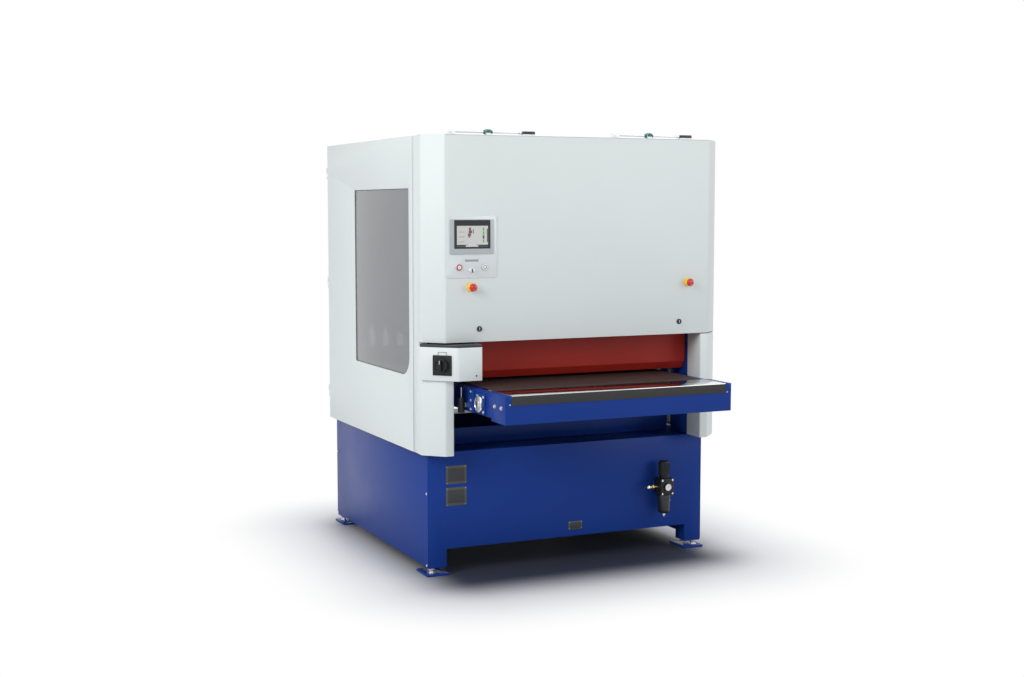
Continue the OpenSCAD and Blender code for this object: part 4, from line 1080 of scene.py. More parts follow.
@dataclass
class Hood(Workshop):
    """The white lift-up front hood with its hinge arms."""

    sheet: float = 0.003
    half: float = 0.77
    face: float = 0.687
    front: float = -0.785
    corner: float = -0.702
    back: float = -0.657
    low: float = 1.083
    top: float = 2.009
    seam: float = -0.671
    hinge: Flat = (-0.65, 2.029)
    places: tuple[float, ...] = (-0.42, 0.424)
    eye: float = 0.00855
    wide: float = 0.024

    def build(self) -> None:
        """Fold the hood, fit its arms and dress the hinges."""
        self.shell()
        self.hinges()

    def shell(self) -> None:
        """Fold the front sheet, close its top, and turn in its lower edge."""
        path = [(-self.half, self.back), (-self.half, self.corner), (-self.face, self.front),
            (self.face, self.front), (self.half, self.corner), (self.half, self.back)]
        skin = Bench.fold("hood_skin", path, [0.01, 0.014, 0.014, 0.01], self.low,
            self.top - 0.0005, self.sheet)
        d = 0.0012
        top = Bench.slab("hood_top", [(-self.half, self.seam), (-self.half, self.corner + d),
            (-self.half + 0.003, self.corner - 0.0042 + d), (-self.face - 0.004,
            self.front + 0.0046), (-self.face + 0.003, self.front), (self.face - 0.003, self.front),
            (self.face + 0.004, self.front + 0.0046), (self.half - 0.003, self.corner - 0.0042 + d),
            (self.half, self.corner + d), (self.half, self.seam)], Axis.Z, self.top - self.sheet,
            self.sheet, 0.0008)
        lower = Bench.block("hood_return", (-self.face, self.front + 0.0005, self.low),
            (self.face, self.front + 0.02, self.low + self.sheet), 0.0006)
        back_fold = Bench.block("hood_back_fold", (-self.half + 0.01, self.seam - 0.003, 1.991),
            (self.half - 0.01, self.seam, 2.0062), 0.0006)
        arms = [self.arm(x) for x in self.places]
        hood = Bench.join("hood_shell", [skin, top, lower, back_fold, *arms])
        self.fit(hood, Body.HOOD, "white_paint", WHITE, "hood")
        seal = Bench.block("hood_seal", (-self.face, self.front + 0.0045, self.low + 0.0032),
            (self.face, self.front + 0.018, self.low + 0.01), 0.002)
        self.fit(seal, Body.HOOD, "black_rubber", RUBBER)

    def arm(self, x: float) -> Piece:
        """Model a hinge arm with its eye and its bolted foot.

        Args:
            x: the arm's place across the machine.

        Returns:
            The new piece.
        """
        y, z = self.hinge
        line = [(y - 0.058, 2.0085), (y - 0.0215, 2.0085), (y - 0.004, 2.0172), (y + 0.006, 2.0175),
            (y + 0.0122, z - 0.005), (y + 0.0122, z + 0.005), (y + 0.006, z + 0.0118),
            (y - 0.004, z + 0.0122), (y - 0.01, z + 0.008), (y - 0.0122, z - 0.0035),
            (y - 0.03, 2.015)]
        plate = Bench.slab("hinge_arm", line, Axis.X, x - self.wide / 2, self.wide, 0.0015)
        cutter = Bench.rod("eye_cut", (x - 0.03, y, z), Axis.X, 0.06, self.eye, 0)
        Bench.cut(plate, cutter)
        foot = Bench.block("arm_foot", (x - 0.012, y - 0.0595, 2.0088),
            (x + 0.012, y - 0.0225, 2.0138), 0.0012)
        Bench.smooth(plate)
        return Bench.join("hood_arm", [plate, foot])

    def hinges(self) -> None:
        """Model each hinge rod with its light blocks, dark clamp, screws and eye sleeve."""
        y, z = self.hinge
        blocks, rods, clamps, sleeves = [], [], [], []
        for x in self.places:
            rods.append(Bench.rod("hinge_rod", (x - 0.18, y, z), Axis.X, 0.415, 0.005, 0.0008, 40))
            blocks.append(Bench.block("hinge_block", (x - 0.215, y - 0.015, self.top),
                (x - 0.165, y + 0.015, 2.038), 0.0025, 3))
            blocks.append(Bench.block("clamp_foot", (x + 0.173, y - 0.015, self.top),
                (x + 0.235, y + 0.015, 2.0225), 0.0025, 3))
            clamps.append(Bench.block("hinge_clamp", (x + 0.173, y - 0.013, 2.0223),
                (x + 0.235, y + 0.013, 2.0362), 0.003, 3))
            sleeves.append(Bench.turn("eye_sleeve", (x, y, z), Axis.X,
                [(0.0126, -0.0121), (0.0134, -0.0121), (0.0134, 0.0121), (0.0126, 0.0121),
                (0.0126, -0.0121)], flip=True))
            rods.append(Bench.rod("hinge_collar", (x + 0.155, y, z), Axis.X, 0.01, 0.0075, 0.001))
            for dx, up in ((-0.19, 2.024), (0.211, 2.0158)):
                rods.append(Bench.bolt("hinge_screw", (x + dx, y - 0.015, up), Axis.Y, -1, 0.0038,
                    0.0021))
        self.assemble("hinge_rods", rods, Body.FRAME, "zinc_plate", ZINC, "hood_hinges")
        self.assemble("hinge_blocks", blocks, Body.FRAME, "light_plastic", LIGHT)
        self.assemble("hinge_clamps", clamps, Body.FRAME, "black_plastic", LIP)
        self.refine("hinge_bushes", TEAL, 0.001)
        self.assemble("hinge_sleeves", sleeves, Body.HOOD, "teal_plastic", TEAL)


@dataclass
class Controls(Workshop):
    """The control plate, touch panel, buttons, emergency stops and latches on the hood."""

    x: float = -0.5595
    face: float = -0.785
    plate: float = -0.788
    low: float = 1.372
    high: float = 1.649
    half: float = 0.1225
    panel_half: float = 0.107
    panel_low: float = 1.479
    panel_high: float = 1.634
    panel_face: float = -0.794
    button_z: float = 1.42
    spread: float = 0.062
    key_z: float = 1.406
    stops: tuple[float, float] = (-0.563, 0.566)
    stop_z: float = 1.33
    latch_x: float = 0.522
    latch_z: float = 1.142

    def build(self) -> None:
        """Build everything that the operator touches on the hood."""
        self.front_plate()
        self.touch_panel()
        self.buttons()
        self.key()
        for x, body, node in ((self.stops[0], Body.E_STOP_LEFT, "e_stop_left"),
                (self.stops[1], Body.E_STOP_RIGHT, "e_stop_right")):
            self.e_stop(x, body, node)
        self.collars()
        for side, body, node in ((-1, Body.LATCH_LEFT, "latch_left"),
                (1, Body.LATCH_RIGHT, "latch_right")):
            self.latch(side * self.latch_x, body, node)

    def front_plate(self) -> None:
        """Model the silver plate with rounded lower corners, screws and button rings."""
        corner, cut, steps = 0.014, 0.002, 6
        x0, x1 = self.x - self.half, self.x + self.half
        line = [(x0, self.high - cut), (x0, self.low + corner),
            *arc((x0 + corner, self.low + corner), corner, math.pi, steps), (x0 + corner, self.low),
            (x1 - corner, self.low), *arc((x1 - corner, self.low + corner), corner, 1.5 * math.pi,
            steps), (x1, self.low + corner), (x1, self.high - cut), (x1 - cut, self.high),
            (x0 + cut, self.high)]
        plate = Bench.slab("plate", line, Axis.Y, self.face, -0.003, 0.0008)
        parts = [SILVER.on(plate)]
        for s in SIDES:
            ring = Bench.turn("ring", (self.x + s * self.spread, self.plate, self.button_z), Axis.Y,
                [(0.0134, 0), (0.0134, 0.0052), (0.0142, 0.006), (0.015, 0.006), (0.016, 0.004),
                (0.016, 0)], flip=True)
            parts.append(BRIGHT.on(ring))
            for z in (self.low + 0.01, self.high - 0.008):
                screw = Bench.bolt("plate_rivet", (self.x + s * 0.112, self.plate + 0.0002, z),
                    Axis.Y, -1, 0.0022, 0.0011)
                parts.append(ZINC.on(screw))
        plaque = Bench.block("plaque", (self.x - 0.033, self.plate - 0.0006, 1.4455),
            (self.x + 0.033, self.plate + 0.0005, 1.4545), 0.0002)
        parts.append(GREY_PAINT.on(plaque))
        self.assemble("control_plate_front", parts, Body.HOOD, "aluminium_part", None,
            "control_plate")

    def touch_panel(self) -> None:
        """Model the panel: silver bezel, black glass and a generic picture on the screen."""
        x0, x1 = self.x - self.panel_half, self.x + self.panel_half
        z0, z1 = self.panel_low, self.panel_high
        bezel = Bench.slab("bezel", rectangle((x0, z0), (x1, z1)), Axis.Y, self.plate, -0.0056,
            0.0018, 0.003, 3)
        parts = [BEZEL.on(bezel)]
        y = self.panel_face + 0.0004

        def face(name: str, low: Flat, high: Flat, lift: float, finish: Finish) -> None:
            """Lay one flat field of the screen on the panel.

            Args:
                name: the field's name.
                low: its lower left corner.
                high: its upper right corner.
                lift: how far it stands out.
                finish: its finish.
            """
            field_ = Bench.block(name, (low[0], y - lift, low[1]), (high[0], y + 0.0012, high[1]),
                0.0001, 1)
            parts.append(finish.on(field_))

        face("glass", (-0.646, 1.503), (-0.47, 1.631), 0.0001, GLASS_BLACK)
        face("picture", (-0.633, 1.521), (-0.482, 1.605), 0.0002, PICTURE)
        face("lower_bar", (-0.633, 1.51), (-0.482, 1.5205), 0.0002, PICTURE_DARK)
        face("tab_a", (-0.59, 1.5115), (-0.53, 1.519), 0.0003, PICTURE_LIGHT)
        face("tab_b", (-0.579, 1.519), (-0.541, 1.524), 0.0003, PICTURE_LIGHT)
        for k in range(4):
            face(f"green_{k}", (-0.508, 1.53 + 0.0175 * k), (-0.5, 1.5445 + 0.0175 * k), 0.0003,
                PICTURE_GREEN if k != 1 else PICTURE_DARK)
        face("side_bar", (-0.488, 1.532), (-0.483, 1.592), 0.0003, PICTURE_DARK)
        for k, (a, b, w, h) in enumerate(((-0.5745, 1.586, 0.01, 0.011),
                (-0.576, 1.572, 0.016, 0.013), (-0.58, 1.56, 0.015, 0.011),
                (-0.578, 1.553, 0.009, 0.006), (-0.556, 1.57, 0.004, 0.02))):
            face(f"sketch_{k}", (a, b), (a + w, b + h), 0.0003, PICTURE_BROWN)
        for k in range(3):
            face(f"line_{k}", (-0.625, 1.533 + 0.022 * k), (-0.595, 1.5345 + 0.022 * k), 0.0003,
                PICTURE_DARK)
        case = Bench.block("panel_case", (x0 + 0.012, self.plate + 0.0031, z0 + 0.012),
            (x1 - 0.012, self.plate + 0.0419, z1 - 0.012), 0.002)
        parts.append(LIP.on(case))
        self.assemble("touch_panel_unit", parts, Body.HOOD, "dark_trim", None, "touch_panel")

    def buttons(self) -> None:
        """Model the two illuminated push buttons with domed caps."""
        for s, body, node, finish, slot in ((-1, Body.STOP, "stop_button", SIGNAL_RED,
                "signal_red"), (1, Body.START, "start_button", LIGHT, "light_plastic")):
            cap = Bench.turn("cap", (self.x + s * self.spread, self.plate - 0.0043, self.button_z),
                Axis.Y, [(0, 0), (0.0126, 0), (0.0128, 0.0018), (0.0118, 0.0028), (0.008, 0.0033),
                (0.004, 0.0035), (0, 0.0035)], flip=True)
            inner = 0.0 if s < 0 else 0.006
            dot = Bench.turn("dot", (self.x + s * self.spread, self.plate - 0.0074, self.button_z),
                Axis.Y, [(inner, 0), (inner, 0.0004), (0.0085, 0.0004), (0.0085, 0)], 40, flip=True)
            finish.on(cap)
            (LIGHT if s < 0 else LIP).on(dot)
            self.assemble(node + "_cap", [cap, dot], body, slot, None, node)

    def key(self) -> None:
        """Model the key switch: a round barrel and the key's bow."""
        at = (self.x, self.plate - 0.0003, self.key_z)
        barrel = Bench.turn("barrel", at, Axis.Y, [(0, 0), (0.0129, 0), (0.013, 0.003),
            (0.0115, 0.0045), (0.01, 0.005), (0.0095, 0.0085), (0.0085, 0.009), (0, 0.009)],
            flip=True)
        bow = Bench.slab("bow", rectangle((self.x - 0.0018, self.key_z - 0.0085),
            (self.x + 0.0018, self.key_z + 0.0085)), Axis.Y, self.plate - 0.0088, -0.0072, 0.0007)
        self.assemble("key_and_barrel", [ZINC.on(barrel), LIP.on(bow)], Body.KEY, "steel", None,
            "key_switch")

    def e_stop(self, x: float, body: Body, node: str) -> None:
        """Model the red mushroom head with its waist and turned rim.

        Args:
            x: its place across the machine.
            body: the body that it moves with.
            node: the node that it stands for.
        """
        head = Bench.turn(node + "_head", (x, self.face - 0.0253, self.stop_z), Axis.Y,
            [(0, -0.0044), (0.0092, -0.0044), (0.0096, 0.0006), (0.015, 0.0008), (0.0174, 0.0008),
            (0.018, 0.003), (0.018, 0.0056), (0.0174, 0.0072), (0.0155, 0.01), (0.0125, 0.0118),
            (0.008, 0.0126), (0.0, 0.013)], 64, flip=True)
        rings = [SIGNAL_RED.on(head)]
        for k in range(3):
            a = math.tau * k / 3 + 0.5
            ax, az = x + 0.0105 * math.cos(a), self.stop_z + 0.0105 * math.sin(a)
            mark = Bench.block("arrow", (ax - 0.0022, self.face - 0.0378, az - 0.0007),
                (ax + 0.0022, self.face - 0.0366, az + 0.0007), 0.0002)
            rings.append(LIGHT.on(mark))
        self.assemble(node + "_mushroom", rings, body, "signal_red", None, node)

    def collars(self) -> None:
        """Model the yellow collars under the emergency stops."""
        collars = [Bench.turn("collar", (x, self.face, self.stop_z), Axis.Y,
            [(0.0108, 0), (0.02, 0), (0.0203, 0.0015), (0.0194, 0.007), (0.0172, 0.015),
            (0.015, 0.0182), (0.013, 0.0194), (0.0108, 0.0194), (0.0108, 0)], 64,
            flip=True) for x in self.stops]
        self.assemble("e_stop_collar_pair", collars, Body.HOOD, "signal_yellow", SIGNAL_YELLOW,
            "e_stop_collars")

    def latch(self, x: float, body: Body, node: str) -> None:
        """Model a quarter-turn latch: rounded rim, slotted face, stem and cam.

        Args:
            x: its place across the machine.
            body: the body that it moves with.
            node: the node that it stands for.
        """
        y, z = self.face - 0.0003, self.latch_z
        head = Bench.turn("latch_head", (x, y, z), Axis.Y, [(0, 0), (0.0123, 0), (0.0125, 0.0012),
            (0.0122, 0.0036), (0.01, 0.0058), (0.0085, 0.006), (0.008, 0.0046), (0, 0.0046)],
            flip=True)
        slot = Bench.block("latch_slot", (x - 0.0016, y - 0.0052, z - 0.007),
            (x + 0.0016, y - 0.004, z + 0.007), 0.0003)
        stem = Bench.rod("latch_stem", (x, y, z), Axis.Y, 0.0195, 0.007, 0.0005, 32)
        cam = Bench.slab("latch_cam", rectangle((x - 0.006, z - 0.007), (x + 0.006, z + 0.04)),
            Axis.Y, self.face + 0.016, 0.004, 0.0006, 0.003)
        piece = Bench.join(node + "_lock", [BLACK.on(head), STEEL.on(slot), ZINC.on(stem),
            ZINC.on(cam)])
        self.fit(piece, body, "black_plastic", None, node)


@dataclass
class Cladding(Workshop):
    """The side, rear and roof panels, the door with its window, and the guard."""

    seal_x: float = -0.7662
    rear: float = 0.662
    roof: float = 2.009
    low: float = 0.571
    screw: Flat = (0.005, 0.003)
    window_front: float = -0.55
    window_back: float = 0.214
    window_low: float = 0.916
    window_high: float = 1.773

    def build(self) -> None:
        """Dress the panels, the door and the guard."""
        self.refine("side_panel_right", WHITE, 0.0016)
        self.refine("rear_panel", WHITE, 0.0008)
        self.refine("roof_panel", WHITE, 0.0008)
        self.refine("side_door", WHITE, 0.0012)
        self.refine("side_window", PANE, 0.0004)
        self.refine("door_hinges", ZINC, 0.0005)
        Bench.smooth(self.refine("infeed_guard", RED, 0.0004), 5)
        self.seal()
        self.panel_screws()
        self.hinge_screws()
        self.hose_rims()

    def seal(self) -> None:
        """Lay the rubber seal round the window, between the pane and the door's sheet."""
        corner, cut, inset = 0.088, 0.004, 0.0012
        y0, y1 = self.window_front + inset, self.window_back - inset
        z0, z1 = self.window_low + inset, self.window_high - inset
        line = [(y0, z0 + corner), *arc((y0 + corner, z0 + corner), corner, math.pi, 8),
            (y0 + corner, z0), (y1 - cut, z0), (y1, z0 + cut), (y1, z1 - cut), (y1 - cut, z1),
            (y0 + cut, z1), (y0, z1 - cut), (y0, z0 + corner)]
        seal = self.bead("window_seal", [(self.seal_x, *p) for p in line], 0.0022)
        self.fit(seal, Body.DOOR, "black_rubber", RUBBER)

    @staticmethod
    def bead(name: str, points: list[Point], radius: float) -> Piece:
        """Run a round bead along straight stretches between points.

        Args:
            name: the piece's name.
            points: the closed line that it follows.
            radius: its radius.

        Returns:
            The new piece.
        """
        line = Bench.curve(name, radius, 2)
        spline = line.splines.new("POLY")
        spline.points.add(len(points) - 2)
        for knot, point in zip(spline.points, points[:-1]):
            knot.co = (*point, 1.0)
        spline.use_cyclic_u = True
        return Bench.solid(name, line)

    def panel_screws(self) -> None:
        """Put screws along the edges of the rear panel and the roof panel."""
        heads = []
        for z in (0.6, 0.95, 1.3, 1.65, 1.98):
            for x in (-0.7, 0.7):
                heads.append(Bench.bolt("rear_screw", (x, self.rear, z), Axis.Y, 1, *self.screw))
        for x in (-0.45, -0.15, 0.15, 0.45):
            heads.append(Bench.bolt("rear_screw", (x, self.rear, 1.98), Axis.Y, 1, *self.screw))
        self.assemble("rear_panel_screws", heads, Body.FRAME, "zinc_plate", ZINC)
        roof = []
        for y in (-0.6, -0.2, 0.2, 0.6):
            for x in (-0.7, 0.7):
                roof.append(Bench.bolt("roof_screw", (x, y, self.roof), Axis.Z, 1, *self.screw))
        self.assemble("roof_panel_screws", roof, Body.FRAME, "zinc_plate", ZINC)

    def hinge_screws(self) -> None:
        """Put socket screws with washers in the fixed leaves of the door's hinges."""
        heads = []
        for share in (0.1, 0.5, 0.9):
            z = self.low + (self.roof - self.low) * share
            for dz in (-0.018, 0.018):
                heads.append(Bench.bolt("leaf_screw", (-0.728, 0.666, z + dz), Axis.Y, 1, 0.0045,
                    0.002))
        self.assemble("hinge_leaf_screws", heads, Body.FRAME, "zinc_plate", BRIGHT)

    def hose_rims(self) -> None:
        """Roll a bead round the top of each extraction spigot."""
        rims = []
        for x in (-0.3, 0.3):
            rims.append(Bench.turn("spigot_rim", (x, 0.3, 2.045), Axis.Z,
                [(0.0795, -0.004), (0.0812, -0.002), (0.0818, 0.0), (0.0812, 0.002),
                (0.0795, 0.004)], 64))
        self.assemble("spigot_beads", rims, Body.FRAME, "white_paint", WHITE)


@dataclass
class Conveyor(Workshop):
    """The lifting conveyor table."""

    half: float = 0.57
    front: float = -1.172
    roller_z: float = 0.821
    idler_y: float = -0.924
    drive_y: float = 0.86
    flange: float = 0.045
    thick: float = 0.008
    bolts: float = 0.033
    gear: float = 0.045
    motor_out: float = 0.043 + 0.0145

    def build(self) -> None:
        """Dress the table and model its bolts, rollers, sensor and gear motor."""
        self.refine("table_frame", BLUE, 0.0012)
        self.refine("nose_plate", BRIGHT, 0.0008)
        self.refine("safety_strip", STRIP, 0.0006)
        self.belt()
        self.bearings()
        self.rollers()
        self.sensor()
        self.gear_motor()
        self.beam_details()

    def belt(self) -> None:
        """Give the belt its ribbed rubber and a spliced seam across it."""
        Bench.smooth(self.refine("conveyor_belt", BELT, 0.0), 30)
        seam = Bench.block("belt_seam", (-0.534, 0.3, 0.8846), (0.534, 0.312, 0.8852), 0.0002)
        self.fit(seam, Body.TABLE, "belt_rubber", RUBBER)

    def bearings(self) -> None:
        """Model the flanged bearings with four bolts each, and the bolted tie plates."""
        parts = []
        for side, y in ((-1, self.idler_y), (1, self.idler_y), (-1, self.drive_y)):
            x = side * self.half
            flange = Bench.slab("flange", rectangle((y - self.flange, self.roller_z - self.flange),
                (y + self.flange, self.roller_z + self.flange)), Axis.X, x, side * self.thick,
                0.0015, 0.012, 3)
            boss = Bench.turn("boss", (x + side * 0.0078, y, self.roller_z), Axis.X,
                [(0.0152, 0), (0.032, 0), (0.032, 0.002), (0.0295, 0.0048), (0.02, 0.005),
                (0.0185, 0.003), (0.0152, 0.003), (0.0152, 0)], flip=side < 0)
            parts += [BLUE.on(flange), ZINC.on(boss)]
            for sy, sz in CORNERS:
                spot = (x + side * self.thick, y + sy * self.bolts, self.roller_z + sz * self.bolts)
                parts.append(ZINC.on(Bench.bolt("bearing_bolt", spot, Axis.X, side, 0.006, 0.004,
                    hexagon=True)))
        for side in SIDES:
            x = side * self.half
            tie = Bench.block("tie", (min(x, x + side * 0.006), -0.845, 0.772),
                (max(x, x + side * 0.006), -0.779, 0.876), 0.0012)
            parts.append(BLUE.on(tie))
            for dz in (-0.04, 0.0, 0.04):
                parts.append(ZINC.on(Bench.bolt("tie_bolt", (x + side * 0.006, -0.812, 0.824 + dz),
                    Axis.X, side, 0.006, 0.004, hexagon=True)))
            for dy in (0.039, 0.108):
                parts.append(BRIGHT.on(Bench.bolt("beam_bolt", (x, self.front + dy, 0.827), Axis.X,
                    side, 0.008, 0.007, hexagon=True)))
        self.assemble("bearings_and_bolts", parts, Body.TABLE, "zinc_plate", None,
            "roller_bearings")

    def rollers(self) -> None:
        """Turn the two rollers, and the bright discs on the idler's ends."""
        for y, body, node, finish, slot, near, far in (
                (self.idler_y, Body.IDLER, "idler_roller", ZINC, "aluminium_part", 0.592, 0.592),
                (self.drive_y, Body.DRIVE, "drive_roller", RUBBER, "black_rubber", 0.578, 0.613)):
            roll = Bench.turn(node + "_tube", (-0.535, y, self.roller_z), Axis.X,
                [(0, 0), (0.059, 0), (0.0612, 0.002), (0.0612, 1.068), (0.059, 1.07), (0, 1.07)],
                72)
            finish.on(roll)
            shaft = Bench.rod("shaft", (-near, y, self.roller_z), Axis.X, near + far, 0.0149,
                0.0012)
            parts = [roll, BRIGHT.on(shaft)]
            if node == "idler_roller":
                for side in SIDES:
                    disc = Bench.turn("disc", (side * 0.5833, y, self.roller_z), Axis.X,
                        [(0, 0), (0.0372, 0), (0.038, 0.001), (0.038, 0.0066), (0.0366, 0.008),
                        (0.033, 0.0084), (0.032, 0.007), (0.019, 0.007), (0.018, 0.0086),
                        (0.0, 0.0086)], 64, flip=side < 0)
                    parts.append(BRIGHT.on(disc))
            self.assemble(node + "_turned", parts, body, slot, None, node)

    def sensor(self) -> None:
        """Model the belt's tracking sensor with its bracket and feeler."""
        x, y, z = -0.6, -0.76, 0.764
        case = Bench.turn("sensor_case", (x, y, z), Axis.Z, [(0, 0), (0.0145, 0), (0.016, 0.002),
            (0.016, 0.056), (0.015, 0.06), (0.015, 0.064), (0.013, 0.068), (0, 0.068)], 40)
        feeler = Bench.tube("feeler", [(x, y, z + 0.067), (x, y, z + 0.09), (x, y, z + 0.114)],
            0.0022)
        plate = Bench.block("sensor_bracket", (x, y - 0.007, z + 0.024),
            (-0.57, y + 0.007, z + 0.044), 0.001)
        parts = [BLACK.on(case), ZINC.on(feeler), ZINC.on(plate)]
        self.assemble("tracking_sensor_unit", parts, Body.TABLE, "black_plastic", None,
            "tracking_sensor")

    def gear_motor(self) -> None:
        """Model the right-angle gearbox with its finned motor below."""
        y, z = self.drive_y, self.roller_z
        box = Bench.block("gear_case", (self.half, y - 0.06, z - 0.06),
            (self.half + 0.086, y + 0.06, z + 0.06), 0.006, 3)
        cover = Bench.turn("gear_cover", (self.half + 0.0858, y, z), Axis.X,
            [(0, 0), (0.048, 0), (0.048, 0.0002), (0.045, 0.0002), (0, 0.0002)])
        x = self.half + self.motor_out
        motor = Bench.turn("motor", (x, y, 0.571), Axis.Z, [(0, 0), (0.046, 0), (0.052, 0.004),
            (0.052, 0.03), (0.05, 0.034), (0.05, 0.17), (0.057, 0.172), (0.057, 0.19), (0, 0.19)])
        parts = [GREY_PAINT.on(box), STEEL.on(cover), GREY_PAINT.on(motor)]
        for k in range(20):
            a = math.tau * k / 20
            fin = Bench.block("fin", (x + 0.048, y - 0.0012, 0.607), (x + 0.057, y + 0.0012, 0.739),
                0.0004, 1)
            Bench.turn_about(fin, (x, y, 0.6), a, Axis.Z)
            parts.append(GREY_PAINT.on(fin))
        terminal = Bench.block("terminal_box", (x - 0.024, y - 0.0575, 0.65),
            (x + 0.024, y - 0.046, 0.715), 0.002)
        parts.append(GREY_PAINT.on(terminal))
        for sy, sz in CORNERS:
            spot = (self.half + 0.0855, y + sy * self.gear, z + sz * self.gear)
            parts.append(ZINC.on(Bench.bolt("gear_screw", spot, Axis.X, 1, 0.005, 0.0035)))
        self.assemble("gear_motor_unit", parts, Body.TABLE, "steel", None, "gear_motor")

    def beam_details(self) -> None:
        """Put the end strips and their screws beside the safety strip."""
        parts = []
        for side in SIDES:
            x0, x1 = sorted((side * 0.5405, side * 0.569))
            strip = Bench.block("end_strip", (x0, self.front - 0.0018, 0.84),
                (x1, self.front + 0.0002, 0.8795), 0.0006)
            parts.append(BLUE.on(strip))
            screw = Bench.bolt("strip_screw", (side * 0.548, self.front - 0.0014, 0.845), Axis.Y,
                -1, 0.0035, 0.0006)
            parts.append(BRIGHT.on(screw))
        self.assemble("beam_end_strips", parts, Body.TABLE, "blue_paint")


@dataclass
class Heads(Workshop):
    """The working heads inside the cabinet."""

    rotor_y: float = 0.131
    motor_y: float = 0.402
    motor_z: float = 1.3

    def build(self) -> None:
        """Dress the head frame, drum, belts, brushes, rollers and levers."""
        for node, finish, edge in (("head_frame", GREY_PAINT, 0.0012),
                ("lift_columns", STEEL, 0.0012), ("contact_drum", RUBBER, 0.0015),
                ("tension_roller", ALUMINIUM, 0.0015), ("motor_pulley", STEEL, 0.001),
                ("brush_carriage", BLUE, 0.002), ("brush_rotor", STEEL, 0.0015),
                ("pressure_roller_front", RUBBER, 0.0012), ("pressure_roller_rear", RUBBER,
                0.0012)):
            self.refine(node, finish, edge)
        for node, finish in (("abrasive_belt", SAND), ("drive_belt", RUBBER)):
            Bench.smooth(self.refine(node, finish, 0.0), 30)
        self.motor()
        self.discs()
        self.levers()
        self.fittings()

    def motor(self) -> None:
        """Model the belt motor with its cooling fins, fan cowl and foot."""
        y, z = self.motor_y, self.motor_z
        body = Bench.turn("belt_motor_body", (0.203, y, z), Axis.X,
            [(0, 0), (0.09, 0), (0.1, 0.006), (0.1, 0.07), (0.0955, 0.074), (0.0945, 0.33),
            (0.104, 0.334), (0.104, 0.352), (0.06, 0.362), (0.06, 0.378), (0.0195, 0.4), (0, 0.4)],
            64)
        parts = [BLUE.on(body)]
        for k in range(28):
            a = math.tau * k / 28
            if abs(math.degrees(a) - 180) < 40:
                continue
            fin = Bench.block("fin", (0.28, y - 0.0013, z + 0.092), (0.53, y + 0.0013, z + 0.1045),
                0.0004, 1)
            Bench.turn_about(fin, (0.4, y, z), a, Axis.X)
            parts.append(BLUE.on(fin))
        foot = Bench.block("motor_foot", (0.303, y - 0.078, z - 0.108),
            (0.503, y + 0.078, z - 0.086), 0.003)
        parts.append(BLUE.on(foot))
        self.assemble("belt_motor_unit", parts, Body.FRAME, "blue_paint", None, "belt_motor")

    def discs(self) -> None:
        """Model each brush disc as a backing plate with tufts of abrasive strip."""
        for i, body in enumerate((Body.DISC_1, Body.DISC_2, Body.DISC_3)):
            a = math.radians(90 + 120 * i)
            x, y = 0.14 * math.cos(a), self.rotor_y + 0.14 * math.sin(a)
            back = Bench.turn("disc_back", (x, y, 0.95), Axis.Z,
                [(0, 0), (0.089, 0), (0.09, 0.002), (0.089, 0.015), (0.012, 0.015), (0.012, 0.048),
                (0, 0.048)], 56)
            parts = [STEEL.on(back)]
            for ring, count in ((0.052, 22), (0.066, 28), (0.08, 34)):
                for k in range(count):
                    b = math.tau * k / count
                    tuft = Bench.block("tuft", (x + ring - 0.0055, y - 0.003, 0.8972),
                        (x + ring + 0.0055, y + 0.003, 0.9505), 0.0006, 1)
                    Bench.turn_about(tuft, (x, y, 0.9), b, Axis.Z)
                    parts.append(BRISTLE.on(tuft))
            self.assemble(f"brush_disc_{i + 1}_tufted", parts, body, "abrasive", None,
                f"brush_disc_{i + 1}")

    def levers(self) -> None:
        """Dress the ball-ended levers."""
        for node in ("tension_lever", "brush_lever"):
            self.refine(node, BLACK, 0.0)

    def fittings(self) -> None:
        """Fit valve blocks and rigid air pipes on the left head plate."""
        blocks = []
        for y, z, w, h in ((-0.42, 1.38, 0.09, 0.06), (0.33, 1.22, 0.11, 0.08)):
            blocks.append(Bench.block("valve_block", (-0.685, y - w / 2, z - h / 2),
                (-0.645, y + w / 2, z + h / 2), 0.003))
        self.assemble("valve_blocks", blocks, Body.FRAME, "steel", ALUMINIUM)
        pipes = [Bench.tube("air_pipe", [(-0.668, -0.4, 1.41), (-0.675, -0.395, 1.5),
            (-0.672, -0.44, 1.64), (-0.668, -0.5, 1.74), (-0.668, -0.5075, 1.8)], 0.004),
            Bench.tube("air_pipe", [(-0.668, 0.33, 1.258), (-0.676, 0.318, 1.36),
            (-0.674, 0.4, 1.56), (-0.668, 0.48, 1.76), (-0.668, 0.4995, 1.82)], 0.004)]
        self.assemble("air_pipes", pipes, Body.FRAME, "steel", STEEL)


